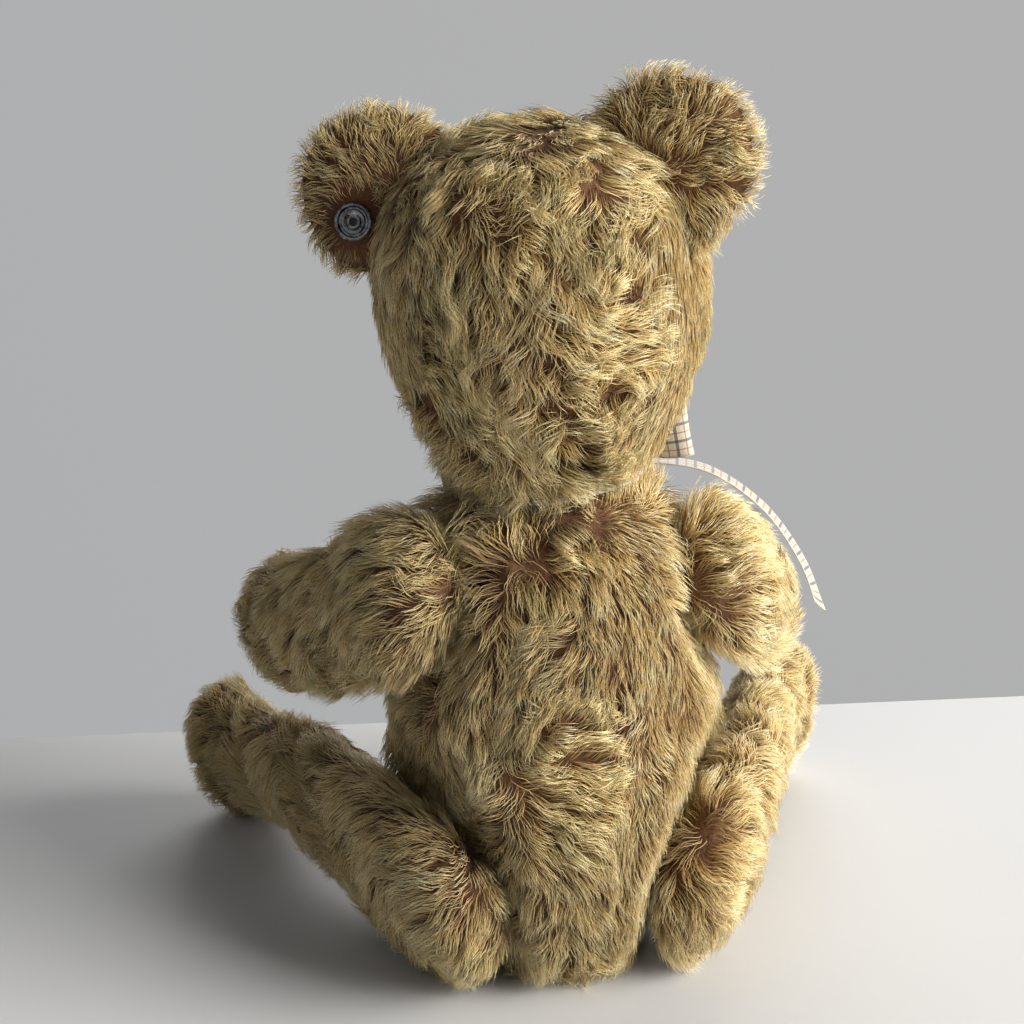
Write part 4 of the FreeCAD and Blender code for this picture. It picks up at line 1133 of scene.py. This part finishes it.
# the knot: a short wrap with soft creases
turns = np.linspace(0, 2 * math.pi, 73)
lane = np.linspace(-1, 1, 15)
rows = []
for angle in turns:
    oval = 1 / (abs(math.cos(angle)) ** 2.6 + abs(math.sin(angle)) ** 2.6) ** (1 / 2.6)
    crease = 0.35 * MM * np.sin(lane * 5.5 + 1.2 * math.sin(angle))
    pinch = 1 - 0.10 * lane ** 2
    y = (2.85 * MM + crease) * oval * math.cos(angle) * pinch
    z = (4.05 * MM + crease) * oval * math.sin(angle) * pinch
    rows.append(BOW.out(np.stack([lane * 4.5 * MM, y, z], axis=1)))
knot = ribbon("ribbon_knot_wrap", rows, (lane + 1) * RIBBON_WIDTH / 2,
              turns / (2 * math.pi) * KNOT_LENGTH, "torso", ["ribbon_knot"])

BOW_REACH, BOW_DEPTH = {1: 35.0, -1: 33.5}, 8.0
LOOP_PATH = [(0.0, -0.10), (0.50, -0.45), (0.91, -0.22), (1.00, 0.02), (0.91, 0.30), (0.50, 0.18),
             (0.0, 0.10)]
for side in (1, -1):
    start = 4.95
    reach = BOW_REACH[side] - start
    plan = [(side * (start + reach * out), BOW_DEPTH * back, 0.0) for out, back in LOOP_PATH]
    steps, across = 90, 19
    line = smooth_line(plan, steps)
    lane = np.linspace(-1, 1, across)
    out_share = (np.abs(line[:, 0]) - start) / reach
    half = 2.6 + 4.3 * step(out_share, 0.0, 0.9)
    normal = unit(np.cross(np.gradient(line, axis=0), np.array([0, 0, 1.0])))
    rows = line[:, None] + np.array([0, 0, 1.0]) * (lane[None] * half[:, None])[..., None]
    pleat = (1.15 * (1 - step(out_share, 0.05, 0.8)))[:, None] * np.sin(lane * 8.5)[None]
    soft = 0.35 * np.sin(out_share * 8 + 1.3 * side)[:, None] * np.cos(lane * 2.2)[None]
    rows = rows + normal[:, None] * (pleat + soft)[..., None]
    rows = BOW.out(rows * MM)
    run = np.linalg.norm(np.diff(line, axis=0), axis=1).sum()
    name = "ribbon_loop_" + ("left" if side > 0 else "right")
    loop = ribbon(name, rows, (lane + 1) * RIBBON_WIDTH / 2, np.linspace(0, run, steps), "torso",
                  ["ribbon_bow"])
right_end = tail("ribbon_end_right", RIGHT_ROUTE, RIGHT_WIDTH, ["ribbon_tail_right"], None)
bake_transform(right_end)
tail("ribbon_end_left", LEFT_ROUTE, LEFT_WIDTH, ["ribbon_tail_left"])

# ---------------------------------------------------------------- the CAD part's own pieces


def dress(names, material):
    for name in names:
        made = frame["nodes"][name]
        made.data.materials.clear()
        made.data.materials.append(material)


NODES = list(frame["nodes"])
dress([n for n in NODES if n.endswith("_disc")], CARD)
dress([n for n in NODES if n.endswith(("_washer", "_pin", "_shanks"))], STEEL)
dress(["ear_stud_cap", "ear_stud_socket"], STUD)
dress(["nose_stitching", "mouth_stitching"], BLACK_THREAD)
for side in ("right", "left"):
    outward = unit(EYE_AT[side] - HEAD.out(np.array([0, -5 * MM, 44 * MM])))
    pupil = Vector(EYE_AT[side] + outward * 3.6 * MM)
    dress([f"{side}_eye"], eye_glass(f"{side}_eye_glass", pupil))

# ---------------------------------------------------------------- floor, light and camera

bpy.ops.mesh.primitive_plane_add(size=1.3, location=(0, 0.53, 0), rotation=(0, 0, math.radians(-5)))
floor = bpy.context.object
floor.name = "floor"
floor.data.materials.append(floor_paint())

world = bpy.data.worlds.new("pale")
world.use_nodes = True
backdrop = world.node_tree.nodes["Background"]
sky = world.node_tree
looking = node(sky, "ShaderNodeTexCoord").outputs["Generated"]
TOWARDS_WALL = (-0.5, -0.866, 0.0)
facing = node(sky, "ShaderNodeVectorMath", {0: looking, 1: TOWARDS_WALL}, operation="DOT_PRODUCT")
grey = ramp(sky, facing.outputs["Value"], [(0.0, (0.11, 0.112, 0.116)), (0.45, (0.15, 0.15, 0.155)),
                                           (0.68, (0.42, 0.425, 0.435)), (1.0, (0.44, 0.44, 0.44))])
sky.links.new(grey, backdrop.inputs["Color"])
backdrop.inputs["Strength"].default_value = 1.0
bpy.context.scene.world = world


def area_light(name, place, target, size, power, colour=(1, 1, 1)):
    data = bpy.data.lights.new(name, "AREA")
    data.shape, data.size, data.energy, data.color = "SQUARE", size, power, colour
    made = bpy.data.objects.new(name, data)
    made.location = place
    made.rotation_euler = (Vector(target) - Vector(place)).to_track_quat("-Z", "Y").to_euler()
    bpy.context.scene.collection.objects.link(made)


MIDDLE = (0.0, 0.02, 0.12)
area_light("window", (-1.58, 0.83, 0.75), MIDDLE, 1.35, 80.0, (1.0, 0.985, 0.96))
area_light("fill", (0.7, 1.3, 1.0), MIDDLE, 1.4, 1.0, (0.95, 0.97, 1.0))
area_light("front", (-0.4, -1.3, 0.8), MIDDLE, 1.2, 8.0)

AZIMUTH, ELEVATION, DISTANCE = math.radians(171.5), math.radians(16), 0.407
TARGET = Vector((0.0118, 0.0301, 0.1225))
ROLL_CAMERA = math.radians(-1)
SENSOR, FOCAL_PIXELS, FRAME_PIXELS = 36.0, 1600, 1024
away = Vector((math.sin(AZIMUTH) * math.cos(ELEVATION), -math.cos(AZIMUTH) * math.cos(ELEVATION),
               math.sin(ELEVATION)))
camera_data = bpy.data.cameras.new("camera")
camera_data.sensor_width, camera_data.lens = SENSOR, SENSOR * FOCAL_PIXELS / FRAME_PIXELS
camera = bpy.data.objects.new("camera", camera_data)
camera.location = TARGET + away * DISTANCE
camera.rotation_euler = ((-away).to_track_quat("-Z", "Y").to_matrix()
                         @ Matrix.Rotation(ROLL_CAMERA, 3, "Z")).to_euler()
bpy.context.scene.collection.objects.link(camera)
bpy.context.scene.camera = camera

bpy.context.scene.view_settings.view_transform = "Standard"
